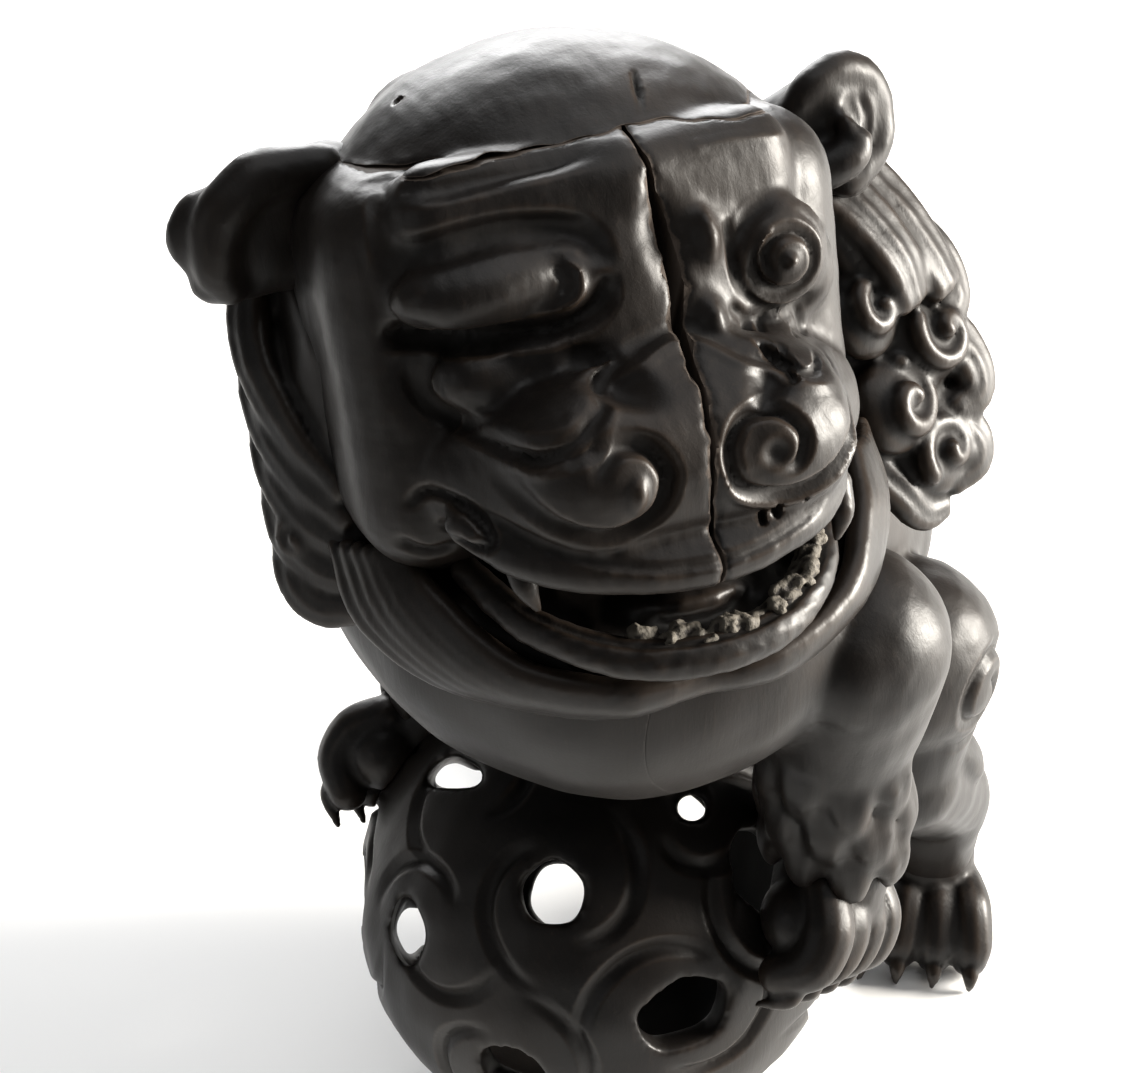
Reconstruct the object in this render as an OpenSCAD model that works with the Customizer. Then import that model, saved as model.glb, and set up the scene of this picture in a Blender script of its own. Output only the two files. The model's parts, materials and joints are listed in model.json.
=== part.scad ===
// Guardian lion carved in hardwood, with both forepaws on an openwork ball.
// The statue is built up from carved blocks that are glued and dowelled together.
// The lion's body faces -Y, its own left side is +X, and its head is turned to its left.

/* [Ball] */
// Diameter of the openwork ball
ball_d = 116; // [110:1:118]
// Thickness of the ball's shell
ball_wall = 8; // [6:0.5:10]

/* [Head] */
// Height of the head's centre above the floor
head_z = 222; // [220:1:226]
// Turn of the head to the lion's own left
head_turn = 59; // [56:1:62]
// Upward tilt of the face
head_lift = 22; // [20:1:24]
// Width of the head across the cheeks
head_w = 106; // [104:1:108]
// Extra flare of the mane on the lion's left side
mane_flare = 22; // [16:1:24]
// Height of the forehead seam above the head's centre
seam_z = 36; // [34:1:38]
// Height of the mouth opening
mouth_h = 13; // [10:1:15]

/* [Body] */
// Height of the chest's centre above the floor
chest_z = 169; // [167:1:171]
// Half width of the chest block between the shoulder joints
chest_half = 44; // [42:1:46]
// Half width of the back block between the hip joints
hip_half = 28; // [26:1:30]

/* [Joinery] */
// Gap left by the glue line between two blocks
glue = 0.2; // [0.1:0.05:0.3]
// Diameter of the dowels that join the body blocks
body_dowel_d = 8; // [6:1:9]
// Length of the dowels that join the body blocks
body_dowel_l = 24; // [20:1:26]
// Diameter of the dowels that join the head blocks
head_dowel_d = 5; // [4:0.5:6]
// Length of the dowels that join the head blocks
head_dowel_l = 14; // [12:1:16]

/* [Hidden] */

$fn = 48;
dowel_fn = 14;
coarse = 12;
fine = 18;
far = 300;
footprint_y = 27.9;
ball_r = ball_d / 2;
foot_flat = 1.2;
seam_turn = 43;
ball_c = [4, 0, ball_r - foot_flat];
head_c = [0, 0, head_z];
cheek = head_w / 2;
mouth_z = -33;
face_back = 8;
joint_y = 38;
sole_z = 24;
armpit_z = 134;
wood = [0.16, 0.12, 0.1];
dark_wood = [0.1, 0.08, 0.07];
pale_wood = [0.55, 0.46, 0.36];

// Turn from straight ahead, height angle and half angle of each opening in the ball, in degrees
openings = [[-34, 58, 12], [-8, 27, 13], [24, 51, 12], [82, 63, 9], [60, 20, 17],
    [22, 2, 12], [106, 28, 11], [-103, -12, 13], [-69, -38, 13], [-124, -52, 12],
    [-167, -27, 13], [156, 20, 14], [128, -22, 13], [-145, 16, 14], [-46, 2, 12],
    [84, -28, 14], [34, -40, 14], [-18, -34, 13]];

// ---- Shared shapes ----

// Ellipsoid with centre c and half sizes r
module blob(c, r, a = [0, 0, 0], n = coarse)
    hull() translate(c) rotate(a) scale(r) sphere(1, $fn = n);

// Round bar from p to q whose radius goes from r1 to r2
module limb(p, q, r1, r2, n = coarse)
    hull() {
        translate(p) sphere(r1, $fn = n);
        translate(q) sphere(r2, $fn = n);
    }

// Spiral curl, drawn as a boss with a rim and a central knob
module curl(c, r, a) {
    translate(c) rotate(a) {
        hull() cylinder(h = r * 0.7, r1 = r, r2 = r * 0.8, $fn = coarse);
        limb([0, 0, 0], [0, 0, r * 0.8], r * 0.4, r * 0.3);
    }
}

module pin(l, r) cylinder(h = l, r = r, center = true, $fn = dowel_fn);

module slab(x0, x1, y0, y1, z0, z1)
    translate([x0, y0, z0]) cube([x1 - x0, y1 - y0, z1 - z0]);

// Places shapes that are drawn in the head's frame: face toward -Y, own left toward +X
module in_head() translate(head_c) rotate([0, 0, head_turn]) rotate([-head_lift, 0, 0]) children();

// Places body shapes inside the head's frame
module from_body() rotate([head_lift, 0, 0]) rotate([0, 0, -head_turn]) translate(-head_c) children();

module flip(side) mirror([side < 0 ? 1 : 0, 0, 0]) children();

// ---- Ball ----

module opening_bore(o)
    rotate([0, 0, o[0]]) rotate([90 - o[1], 0, 0]) translate([0, 0, ball_r * 0.6])
        cylinder(h = ball_r * 0.5, r = ball_r * sin(o[2]));

// Half section of the shell, flattened where the ball stands on the floor
module shell_section() difference() {
    circle(ball_r);
    circle(ball_r - ball_wall);
    translate([-ball_d, -ball_r]) square([ball_d, ball_d]);
    translate([0, foot_flat - ball_d]) square([ball_r, ball_r]);
}

module pierced_ball() color(wood) translate(ball_c) difference() {
    rotate([0, 0, seam_turn]) rotate_extrude() shell_section();
    for (o = openings) opening_bore(o);
}

module ball_room() translate(ball_c) sphere(ball_r + 0.6, $fn = 32);

// ---- Head: one mass that is cut into blocks ----

module head_mass(g = 0) {
    blob([0, 6, 8], [cheek + g, 49 + g, 48 + g], n = fine);
    hull() for (x = [-1, 1], z = [-24, 22])
        translate([x * 34, -10, z]) sphere(18 + g, $fn = coarse);
    hull() for (x = [-1, 1]) {
        translate([x * 18, -44, -10]) sphere(18 + g, $fn = coarse);
        translate([x * 32, -16, -18]) sphere(17 + g, $fn = coarse);
        translate([x * 12, -30, 8]) sphere(14 + g, $fn = coarse);
    }
    hull() for (x = [-1, 1]) {
        translate([x * 15, -40, -41]) sphere(10 + g, $fn = coarse);
        translate([x * 30, -12, -38]) sphere(12 + g, $fn = coarse);
    }
    for (x = [-1, 1]) {
        blob([x * 11, -53, -12], [11 + g, 10 + g, 10 + g]);
        blob([x * 22, -34, 19], [15 + g, 9 + g, 9 + g], [0, x * 20, 0]);
        blob([x * 22, -38, 5], [9 + g, 6 + g, 7 + g]);
    }
}

module mouth_room() hull() {
    for (x = [-1, 1]) {
        translate([x * 30, -26, mouth_z - 1]) sphere(mouth_h / 3, $fn = coarse);
        translate([x * 20, -66, mouth_z]) sphere(mouth_h / 2, $fn = coarse);
        translate([x * 12, -84, mouth_z]) sphere(mouth_h / 2, $fn = coarse);
    }
}

module head_dowel_places(g = 0) {
    r = head_dowel_d / 2 + g;
    l = head_dowel_l + 2 * g;
    for (x = [-1, 1]) {
        translate([x * 24, -8, seam_z]) pin(l, r);
        translate([x * 26, face_back, 10]) rotate([90, 0, 0]) pin(l, r);
        translate([x * 26, -4, mouth_z]) pin(l, r);
        translate([x * (cheek - 2), 14, 22]) rotate([0, 90, 0]) pin(l, r);
    }
}

module crown_block() color(wood) in_head() difference() {
    head_mass();
    slab(-far, far, -far, far, -far, seam_z + glue / 2);
    head_dowel_places(glue);
}

module occiput_block() color(wood) in_head() difference() {
    head_mass();
    slab(-far, far, -far, face_back + glue / 2, -far, far);
    slab(-far, far, -far, far, seam_z - glue / 2, far);
    head_dowel_places(glue);
    from_body() body_dowel_places(glue);
}

module face_block(side) color(wood) in_head() difference() {
    head_mass();
    flip(side) slab(-far, glue / 2, -far, far, -far, far);
    slab(-far, far, face_back - glue / 2, far, -far, far);
    slab(-far, far, -far, far, seam_z - glue / 2, far);
    slab(-far, far, -far, far, -far, mouth_z + glue / 2);
    mouth_room();
    head_dowel_places(glue);
    fang_places(glue);
}

module face_left_block() face_block(1);
module face_right_block() face_block(-1);

module jaw_block() color(wood) in_head() difference() {
    head_mass();
    slab(-far, far, face_back - glue / 2, far, -far, far);
    slab(-far, far, -far, far, mouth_z - glue / 2, far);
    mouth_room();
    head_dowel_places(glue);
    tooth_row(glue);
}

// Row of worn teeth standing on the lip of the lower jaw
module tooth_row(g = 0)
    for (i = [-4:4])
        translate([i * 4.6, -45 + 0.35 * i * i, mouth_z - 7]) hull() {
            cylinder(h = 8, r = 2.1 + g, center = true, $fn = 12);
            translate([0, 1.5, 0]) cylinder(h = 8, r = 2.1 + g, center = true, $fn = 12);
        }

module lower_teeth() color(pale_wood) in_head() tooth_row();

module fang_places(g = 0)
    for (x = [-1, 1])
        translate([x * 30, -42, mouth_z - 2]) cylinder(h = 14, r1 = 0.8 + g, r2 = 3.2 + g);

module fangs() color(pale_wood) in_head() fang_places();

// ---- Ears: the left one stands up, the right one droops ----

module ear_mass(side, g = 0) flip(side) {
    tip = side > 0 ? [cheek + 11, 14, 28] : [cheek + 9, 12, 13];
    limb([cheek - 8, 12, 34], [cheek + 4, 15, 32], 12 + g, 11 + g);
    limb([cheek + 4, 15, 32], tip, 11 + g, 8 + g);
    limb([cheek - 4, 20, 30], tip + [-6, 8, -2], 9 + g, 7 + g);
}

module ear(side) color(wood) in_head() difference() {
    ear_mass(side);
    head_mass(glue);
    head_dowel_places(glue);
}

module ear_left() ear(1);
module ear_right() ear(-1);

// ---- Mane and beard ----

module mane_mass(side, g = 0) flip(side) {
    reach = side > 0 ? mane_flare : 0;
    for (i = [0:3])
        limb([cheek - 3 - i + reach * 0.4, 20 + 5 * i, 8 - 4 * i],
            [cheek - 3 + i + reach * 0.7, 14 + 7 * i, -40 + 3 * i], 11 + g, 9 + g);
    limb([cheek - 8, 26, 22], [cheek - 6, 44, -20], 12 + g, 13 + g);
    if (side > 0)
        for (z = [-44, -24, -4])
            limb([cheek + reach * 0.8, 8, z], [cheek + reach, 16, z - 6], 10 + g, 9 + g);
    for (z = [-34, -10])
        curl([cheek + reach * 1.1, 18 - z * 0.1, z], 9 + g, [0, 90, 0]);
}

module mane_side(side) color(wood) in_head() difference() {
    mane_mass(side);
    flip(side) slab(-far, 31, -far, far, -far, far);
    head_mass(glue);
    ear_mass(side, glue);
    head_dowel_places(glue);
}

module mane_left() mane_side(1);
module mane_right() mane_side(-1);

module nape_mass(g = 0) {
    for (x = [-20, 0, 20])
        limb([x, 48, 24], [x * 1.1, 54, -34], 13 + g, 13 + g);
    for (x = [-20, 0, 20], z = [-28, -4, 20])
        curl([x, 62, z], 11 + g, [-90, 0, 0]);
}

module nape_mane() color(wood) in_head() difference() {
    nape_mass();
    for (side = [-1, 1]) flip(side) slab(31 - glue, far, -far, far, -far, far);
    head_mass(glue);
    from_body() body_dowel_places(glue);
}

module beard_mass(g = 0) {
    for (i = [-4:3])
        limb([i * 13, -34 + 1.5 * i * i, -48 + 0.9 * i * i],
            [i * 13 + 13, -34 + 1.5 * (i + 1) * (i + 1), -48 + 0.9 * (i + 1) * (i + 1)],
            12 + g, 12 + g);
}

module beard_block() color(wood) in_head() difference() {
    beard_mass();
    head_mass(glue);
    for (side = [-1, 1]) mane_mass(side, glue);
    slab(-far, far, face_back - glue, far, -far, far);
}

// Everything of the head that the body blocks have to clear
module head_room() in_head() {
    head_mass(glue);
    beard_mass(glue);
    nape_mass(glue);
    for (side = [-1, 1]) mane_mass(side, glue);
}

// ---- Body: one mass that is cut into blocks ----

module body_mass(g = 0) {
    blob([1, 0, chest_z], [61 + g, 53 + g, 48 + g], n = fine);
    blob([2, 8, chest_z + 34], [42 + g, 38 + g, 32 + g]);
    limb([2, 22, chest_z - 4], [0, 78, 122], 42 + g, 34 + g, fine);
    for (side = [-1, 1]) flip(side) {
        limb([44, 60, 122], [49, 56, 86], 20 + g, 14 + g);
        limb([49, 56, 86], [47, 86, 50], 14 + g, 12 + g);
        limb([47, 86, 50], [44, 92, 10], 12 + g, 11 + g);
    }
}

// Wrist of each foreleg, and the forward swing of the paws
left_wrist = [60, 24, 100];
right_wrist = [-44, 0, 96];
paw_swing = 36;

module foreleg_mass(wrist, shoulder) {
    elbow = [shoulder[0] * 0.3 + wrist[0] * 0.7, shoulder[1] + 8, (shoulder[2] + wrist[2]) / 2];
    limb(shoulder, elbow, 20, 15);
    limb(elbow, wrist, 15, 13);
    limb([wrist[0], wrist[1] + 6, wrist[2] + 14], wrist, 10, 12);
}

module place_paw(wrist) translate(wrist) rotate([-paw_swing, 0, 0]) flip(wrist[0]) children();

module below_wrist(wrist, g) place_paw(wrist) slab(-30, 30, -36, 26, -60, g);

// Forepaw that hangs down from the wrist and grips the ball
module forepaw(wrist) color(wood) difference() {
    place_paw(wrist) {
        difference() {
            limb([0, 0, 0], [2, 0, -14], 13, 13);
            slab(-30, 30, -30, 30, 0, 40);
        }
        hull() for (i = [-1, 1]) translate([3, 9 * i, -18]) sphere(10, $fn = coarse);
        for (i = [-1.5:1.5]) {
            limb([4, 8 * i, -20], [4, 9 * i, -31], 7, 6);
            limb([6, 9 * i, -33], [1, 9.5 * i, -43], 2.8, 1.2);
        }
    }
    ball_room();
    place_paw(wrist) slab(-30, 30, -30, 30, -glue / 2, 40);
}

module forepaw_left() forepaw(left_wrist);
module forepaw_right() forepaw(right_wrist);

module chest_block() color(wood) difference() {
    body_mass();
    for (side = [-1, 1]) flip(side) slab(chest_half - glue / 2, far, -far, far, -far, far);
    slab(-far, far, joint_y - glue / 2, far, -far, far);
    ball_room();
    head_room();
    body_dowel_places(glue);
}

module back_block() color(wood) difference() {
    body_mass();
    for (side = [-1, 1]) flip(side) slab(hip_half - glue / 2, far, -far, far, -far, far);
    slab(-far, far, -far, joint_y + glue / 2, -far, far);
    ball_room();
    head_room();
    tail_mass(glue);
    body_dowel_places(glue);
}

module foreleg(side, wrist, shoulder) color(wood) difference() {
    union() {
        body_mass();
        foreleg_mass(wrist, shoulder);
        curl([side * 66, shoulder[1], shoulder[2] - 4], 12, [0, side * 90, 0]);
    }
    flip(side) slab(-far, chest_half + glue / 2, -far, far, armpit_z, far);
    intersection() {
        body_mass(glue);
        flip(side) slab(-far, chest_half + glue / 2, -far, far, -far, far);
    }
    slab(-far, far, joint_y - glue / 2, far, -far, far);
    below_wrist(wrist, glue / 2);
    ball_room();
    head_room();
    body_dowel_places(glue);
}

module foreleg_left() foreleg(1, left_wrist, [57, 14, 166]);
module foreleg_right() foreleg(-1, right_wrist, [-48, 8, 158]);

module haunch(side) color(wood) difference() {
    body_mass();
    flip(side) slab(-far, hip_half + glue / 2, -far, far, -far, far);
    slab(-far, far, -far, joint_y + glue / 2, -far, far);
    slab(-far, far, -far, far, -far, sole_z + glue / 2);
    head_room();
    tail_mass(glue);
    body_dowel_places(glue);
}

module haunch_left() haunch(1);
module haunch_right() haunch(-1);

module hind_paw(side) color(wood) flip(side) difference() {
    union() {
        limb([44, 92, 24], [44, 90, 10], 11.5, 13);
        hull() for (i = [-1, 1]) translate([44 + 7 * i, 82, 9]) sphere(9, $fn = coarse);
        for (i = [-1.5:1.5]) {
            limb([44 + 7 * i, 78, 8], [44 + 8 * i, 70, 6], 6.5, 5.5);
            limb([44 + 8 * i, 68, 7], [44 + 8.5 * i, 62, 2.5], 2.6, 1.2);
        }
    }
    slab(-far, far, -far, far, -far, 0);
    slab(-far, far, -far, far, sole_z - glue / 2, far);
}

module hind_paw_left() hind_paw(1);
module hind_paw_right() hind_paw(-1);

// ---- Tail ----

module tail_mass(g = 0) {
    for (i = [0:6])
        limb([0, 112 - 5 * i, 118 + 11 * i], [0, 107 - 5 * i, 129 + 11 * i], 12 + g, 12 + g);
    for (x = [-1, 1]) curl([x * 8, 96, 172], 12 + g, [-70, x * 20, 0]);
}

module tail_block() color(wood) difference() {
    tail_mass();
    head_room();
}

// ---- Dowels ----

module body_dowel_places(g = 0) {
    r = body_dowel_d / 2 + g;
    l = body_dowel_l + 2 * g;
    for (side = [-1, 1]) {
        for (z = [148, 166]) translate([side * chest_half, 10, z]) rotate([0, 90, 0]) pin(l, r);
        for (y = [60, 78]) translate([side * hip_half, y, 120]) rotate([0, 90, 0]) pin(l, r);
        translate([side * 18, joint_y, 150]) rotate([90, 0, 0]) pin(l, r);
    }
}

module body_dowels() color(dark_wood) body_dowel_places();
module head_dowels() color(dark_wood) in_head() head_dowel_places();

// ---- Assembly ----

// Puts the origin under the middle of the statue
module placed() translate([0, -footprint_y, 0]) children();

placed() pierced_ball();
placed() chest_block();
placed() back_block();
placed() haunch_left();
placed() haunch_right();
placed() hind_paw_left();
placed() hind_paw_right();
placed() foreleg_left();
placed() foreleg_right();
placed() forepaw_left();
placed() forepaw_right();
placed() tail_block();
placed() occiput_block();
placed() crown_block();
placed() face_left_block();
placed() face_right_block();
placed() jaw_block();
placed() lower_teeth();
placed() fangs();
placed() ear_left();
placed() ear_right();
placed() mane_left();
placed() mane_right();
placed() nape_mane();
placed() beard_block();
placed() body_dowels();
placed() head_dowels();
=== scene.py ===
"""Carved hardwood guardian lion on an openwork ball, dressed around its CAD frame.

Every carved block is roughed out from fused lumps, cut with chisel strokes, split at the glue joints
and finished in satin lacquer. All working sizes are millimetres; meshes are written in metres.
"""

import json
import logging
import math
from dataclasses import dataclass
from enum import Enum
from typing import Callable, Sequence

import bmesh
import bpy
import numpy as np
from mathutils import Matrix, Vector

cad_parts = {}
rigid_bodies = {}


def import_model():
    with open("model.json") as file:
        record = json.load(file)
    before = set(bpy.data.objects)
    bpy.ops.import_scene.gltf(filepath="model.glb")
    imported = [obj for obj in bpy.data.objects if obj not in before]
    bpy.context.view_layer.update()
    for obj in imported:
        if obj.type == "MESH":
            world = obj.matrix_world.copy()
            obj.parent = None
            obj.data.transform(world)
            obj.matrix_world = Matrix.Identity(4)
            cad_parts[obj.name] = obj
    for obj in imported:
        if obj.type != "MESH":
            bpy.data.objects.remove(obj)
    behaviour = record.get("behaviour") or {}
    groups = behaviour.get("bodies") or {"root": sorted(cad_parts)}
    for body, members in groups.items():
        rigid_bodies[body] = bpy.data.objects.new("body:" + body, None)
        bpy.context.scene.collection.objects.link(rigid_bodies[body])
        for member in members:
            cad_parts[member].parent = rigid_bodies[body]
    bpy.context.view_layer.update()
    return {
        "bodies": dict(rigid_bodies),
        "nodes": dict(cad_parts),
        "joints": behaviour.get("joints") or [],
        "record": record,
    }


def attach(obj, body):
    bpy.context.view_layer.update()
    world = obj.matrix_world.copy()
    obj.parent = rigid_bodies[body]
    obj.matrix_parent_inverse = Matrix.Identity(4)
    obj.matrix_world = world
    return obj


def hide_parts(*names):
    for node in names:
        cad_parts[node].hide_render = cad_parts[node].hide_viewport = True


logging.basicConfig(level=logging.INFO, format="%(message)s")
log = logging.getLogger("lion")

Point = Sequence[float]
Array = np.ndarray

MM = 0.001
SEED = 11
SIDES = (-1, 1)
ROPE_SIDES = 12
CREST_GAIN = 12
SHARP_ANGLE = math.radians(60)
TIGHT_GAP = 0.06
LARGE_BALL = 25
FINE_GRID = 0.8
MIDDLE_GRID = 1.1
COARSE_GRID = 1.3
FOOTPRINT_Y = 27.9
BALL_CENTRE = np.array([4.0, 0.0, 56.8])
BALL_RADIUS = 58.0
HEAD_CENTRE = Vector((0.0, 0.0, 222.0))
HEAD_TURN = math.radians(59)
HEAD_LIFT = math.radians(22)


# ---------------------------------------------------------------- frames


class Frame(Enum):
    """Frame in which a piece is carved."""

    BODY = "body"
    HEAD = "head"

    def to_row(self) -> Matrix:
        """Returns the matrix from this frame, in millimetres, to the row frame in metres."""
        place = Matrix.Translation(Vector((0, -FOOTPRINT_Y, 0)))
        if self is Frame.HEAD:
            place = place @ Matrix.Translation(HEAD_CENTRE)
            place = place @ Matrix.Rotation(HEAD_TURN, 4, "Z") @ Matrix.Rotation(-HEAD_LIFT, 4, "X")
        return Matrix.Scale(MM, 4) @ place


def smooth_step(t: Array) -> Array:
    """Returns the smooth 0 to 1 step of t, clipped to that range."""
    t = np.clip(t, 0.0, 1.0)
    return t * t * (3.0 - 2.0 * t)


def curve_through(points: Sequence[Point], count: int = 24) -> Array:
    """Samples a Catmull-Rom curve through a few given points.

    Args:
        points: The points that the curve passes through.
        count: How many samples to return.

    Returns:
        An array of count points.
    """
    p = np.asarray(points, float)
    p = np.vstack([2 * p[0] - p[1], p, 2 * p[-1] - p[-2]])
    t = np.linspace(0, len(p) - 3, count)
    i = np.minimum(t.astype(int), len(p) - 4)
    f = (t - i)[:, None]
    a, b, c, d = p[i], p[i + 1], p[i + 2], p[i + 3]
    return 0.5 * (2 * b + (c - a) * f + (2 * a - 5 * b + 4 * c - d) * f**2 + (3 * b - a - 3 * c + d) * f**3)


def spiral(centre: Point, outer: float, inner: float, turns: float, start: float, count: int = 40) -> Array:
    """Samples a flat spiral that winds inwards.

    Args:
        centre: Centre of the spiral in its plane.
        outer: Starting radius.
        inner: Final radius.
        turns: Turns made, negative to wind clockwise.
        start: Starting angle in degrees.
        count: How many samples to return.

    Returns:
        An array of count points in the plane.
    """
    t = np.linspace(0, 1, count)
    angle = math.radians(start) + turns * 2 * math.pi * t
    radius = outer + (inner - outer) * t
    return np.asarray(centre) + np.stack([radius * np.cos(angle), radius * np.sin(angle)], -1)


# ---------------------------------------------------------------- modelling


class Clay:
    """Rough lumps that are fused into one skin."""

    def __init__(self) -> None:
        """Starts with no lumps."""
        self.bm = bmesh.new()

    def ball(self, centre: Point, size: Point | float, turn: Point = (0, 0, 0), detail: int = 3) -> "Clay":
        """Adds an ellipsoid.

        Args:
            centre: Its centre.
            size: Its radius, or its three half sizes.
            turn: Its turn about X, Y and Z in degrees.
            detail: Icosphere subdivisions.

        Returns:
            This clay, so that calls chain.
        """
        half = (size,) * 3 if isinstance(size, (int, float)) else tuple(size)
        rot = Matrix.Rotation(math.radians(turn[2]), 4, "Z") @ Matrix.Rotation(math.radians(turn[1]), 4, "Y")
        rot = rot @ Matrix.Rotation(math.radians(turn[0]), 4, "X")
        place = Matrix.Translation(Vector(centre)) @ rot @ Matrix.Diagonal((*half, 1.0))
        bmesh.ops.create_icosphere(self.bm, subdivisions=detail, radius=1.0, matrix=place)
        return self

    def hull(self, balls: Sequence[tuple[Point, float]]) -> "Clay":
        """Adds the convex hull of some balls, given as centres and radii."""
        shell = bmesh.new()
        for centre, radius in balls:
            place = Matrix.Translation(Vector(centre))
            detail = 3 if radius < LARGE_BALL else 5
            bmesh.ops.create_icosphere(shell, subdivisions=detail, radius=radius, matrix=place)
        bmesh.ops.delete(shell, geom=shell.edges[:], context="EDGES_FACES")
        out = bmesh.ops.convex_hull(shell, input=shell.verts[:])
        loose = [g for g in out["geom_interior"] if isinstance(g, bmesh.types.BMVert)]
        bmesh.ops.delete(shell, geom=loose, context="VERTS")
        mesh = bpy.data.meshes.new("hull")
        shell.to_mesh(mesh)
        shell.free()
        self.bm.from_mesh(mesh)
        bpy.data.meshes.remove(mesh)
        return self

    def bar(self, start: Point, end: Point, r1: float, r2: float) -> "Clay":
        """Adds a round bar between two points, with a radius at each."""
        return self.hull([(start, r1), (end, r2)])

    def rope(self, path: Array, radii: Point) -> "Clay":
        """Adds a round rope along a path, by sweeping a ring.

        Args:
            path: Points along its middle.
            radii: Radii at equal steps along the path.

        Returns:
            This clay.
        """
        path = np.asarray(path, float)
        width = np.interp(np.linspace(0, 1, len(path)), np.linspace(0, 1, len(radii)), radii)
        tangents = np.gradient(path, axis=0)
        side = Vector(np.cross(tangents[0], (0.31, 0.52, 0.79)))
        rings = []
        for point, tangent, r in zip(path, tangents, width):
            along = Vector(tangent).normalized()
            side = (side - along * side.dot(along)).normalized()
            turn = Matrix((side, along.cross(side), along)).transposed().to_4x4()
            place = Matrix.Translation(Vector(point)) @ turn
            ring = bmesh.ops.create_circle(self.bm, segments=ROPE_SIDES, radius=float(r), matrix=place)
            rings.append(ring["verts"])
        for low, high in zip(rings, rings[1:]):
            edges = [e for v in low + high for e in v.link_edges if e.other_vert(v) in low + high]
            loops = dict.fromkeys(e for e in edges if len(e.link_faces) < 2)
            bmesh.ops.bridge_loops(self.bm, edges=list(loops))
        for ring in (rings[0], rings[-1]):
            bmesh.ops.contextual_create(self.bm, geom=ring)
        for point, r in ((path[0], width[0]), (path[-1], width[-1])):
            self.ball(point, float(r), detail=2)
        return self

    def curl(self, centre: Point, out: Point, radius: float, turns: float = 1.2, start: float = 0.0,
             thick: float = 0.2, mirror: bool = False) -> "Clay":
        """Adds a snail curl: a rope that winds inwards on a disc and rises to a knob.

        Args:
            centre: Centre of the curl.
            out: Direction that its face looks in.
            radius: Outer radius.
            turns: How many turns it makes.
            start: Starting angle in degrees.
            thick: Rope radius as a share of the outer radius.
            mirror: Winds the other way.

        Returns:
            This clay.
        """
        facing = Vector(out).normalized().to_track_quat("Z", "Y").to_matrix()
        flat = spiral((0, 0), radius * (1 - thick), radius * 0.08, -turns if mirror else turns, start, 34)
        rise = np.linspace(0, radius * 0.3, len(flat))[:, None]
        path = np.hstack([flat, rise]) @ np.array(facing).T + np.asarray(centre)
        self.rope(path, (radius * thick, radius * thick, radius * thick * 0.8))
        disc = Vector(centre) - facing @ Vector((0, 0, radius * 0.3))
        turn = [math.degrees(a) for a in facing.to_euler("XYZ")]
        self.ball(disc, (radius * 0.95, radius * 0.95, radius * 0.5), turn)
        return self

    def lock(self, path: Sequence[Point], out: Point, width: float, strands: int = 3,
             tip: float = 0.35) -> "Clay":
        """Adds a lock of hair made of strands that lie side by side.

        Args:
            path: A few points along the lock.
            out: Direction that the lock faces in.
            width: Width across the strands at the root.
            strands: How many strands it has.
            tip: Width at the tip as a share of the width.

        Returns:
            This clay.
        """
        middle = curve_through(path, 16)
        tangents = np.gradient(middle, axis=0)
        across = np.cross(tangents, np.asarray(out, float))
        across /= np.linalg.norm(across, axis=1, keepdims=True)
        taper = np.linspace(1, tip, len(middle))[:, None]
        swell = 1 + 0.15 * np.sin(np.linspace(0, math.pi, len(middle)))[:, None]
        strand = width / strands
        for i in range(strands):
            shift = (i - (strands - 1) / 2) * strand
            lift = -0.12 * abs(shift) * np.asarray(out, float)
            radii = (strand * 0.72, strand * 0.7, strand * tip)
            self.rope(middle + across * shift * taper * swell + lift, radii)
        return self

    def fuse(self, voxel: float, relax: int = 2) -> bpy.types.Mesh:
        """Fuses the lumps into one skin.

        Args:
            voxel: Size of the fusing grid.
            relax: Smoothing passes after fusing.

        Returns:
            The fused mesh.
        """
        bmesh.ops.recalc_face_normals(self.bm, faces=self.bm.faces)
        mesh = bpy.data.meshes.new("clay")
        self.bm.to_mesh(mesh)
        self.bm.free()
        fused = through_modifier(mesh, "REMESH", mode="VOXEL", voxel_size=voxel, adaptivity=0.0)
        return relaxed(fused, relax)


def through_modifier(mesh: bpy.types.Mesh, kind: str, **settings: object) -> bpy.types.Mesh:
    """Runs one modifier on a mesh and returns the result as a new mesh."""
    holder = bpy.data.objects.new("bench", mesh)
    bpy.context.scene.collection.objects.link(holder)
    modifier = holder.modifiers.new("step", kind)
    for name, value in settings.items():
        setattr(modifier, name, value)
    graph = bpy.context.evaluated_depsgraph_get()
    made = bpy.data.meshes.new_from_object(holder.evaluated_get(graph))
    bpy.data.objects.remove(holder)
    bpy.data.meshes.remove(mesh)
    return made


def relaxed(mesh: bpy.types.Mesh, passes: int) -> bpy.types.Mesh:
    """Smooths a mesh in place with a number of passes and returns it."""
    bm = bmesh.new()
    bm.from_mesh(mesh)
    for _ in range(passes):
        bmesh.ops.smooth_vert(bm, verts=bm.verts, factor=0.5, use_axis_x=True, use_axis_y=True,
                              use_axis_z=True)
    bm.to_mesh(mesh)
    bm.free()
    return mesh


def subdivided(mesh: bpy.types.Mesh) -> bpy.types.Mesh:
    """Returns the mesh with one level of smooth subdivision."""
    return through_modifier(mesh, "SUBSURF", levels=1, render_levels=1)


def cut_away(mesh: bpy.types.Mesh, cutter: bpy.types.Mesh) -> bpy.types.Mesh:
    """Returns the mesh with a closed cutter taken out of it."""
    tool = bpy.data.objects.new("cutter", cutter)
    bpy.context.scene.collection.objects.link(tool)
    made = through_modifier(mesh, "BOOLEAN", operation="DIFFERENCE", solver="MANIFOLD", object=tool)
    bpy.data.objects.remove(tool)
    return made


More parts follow.
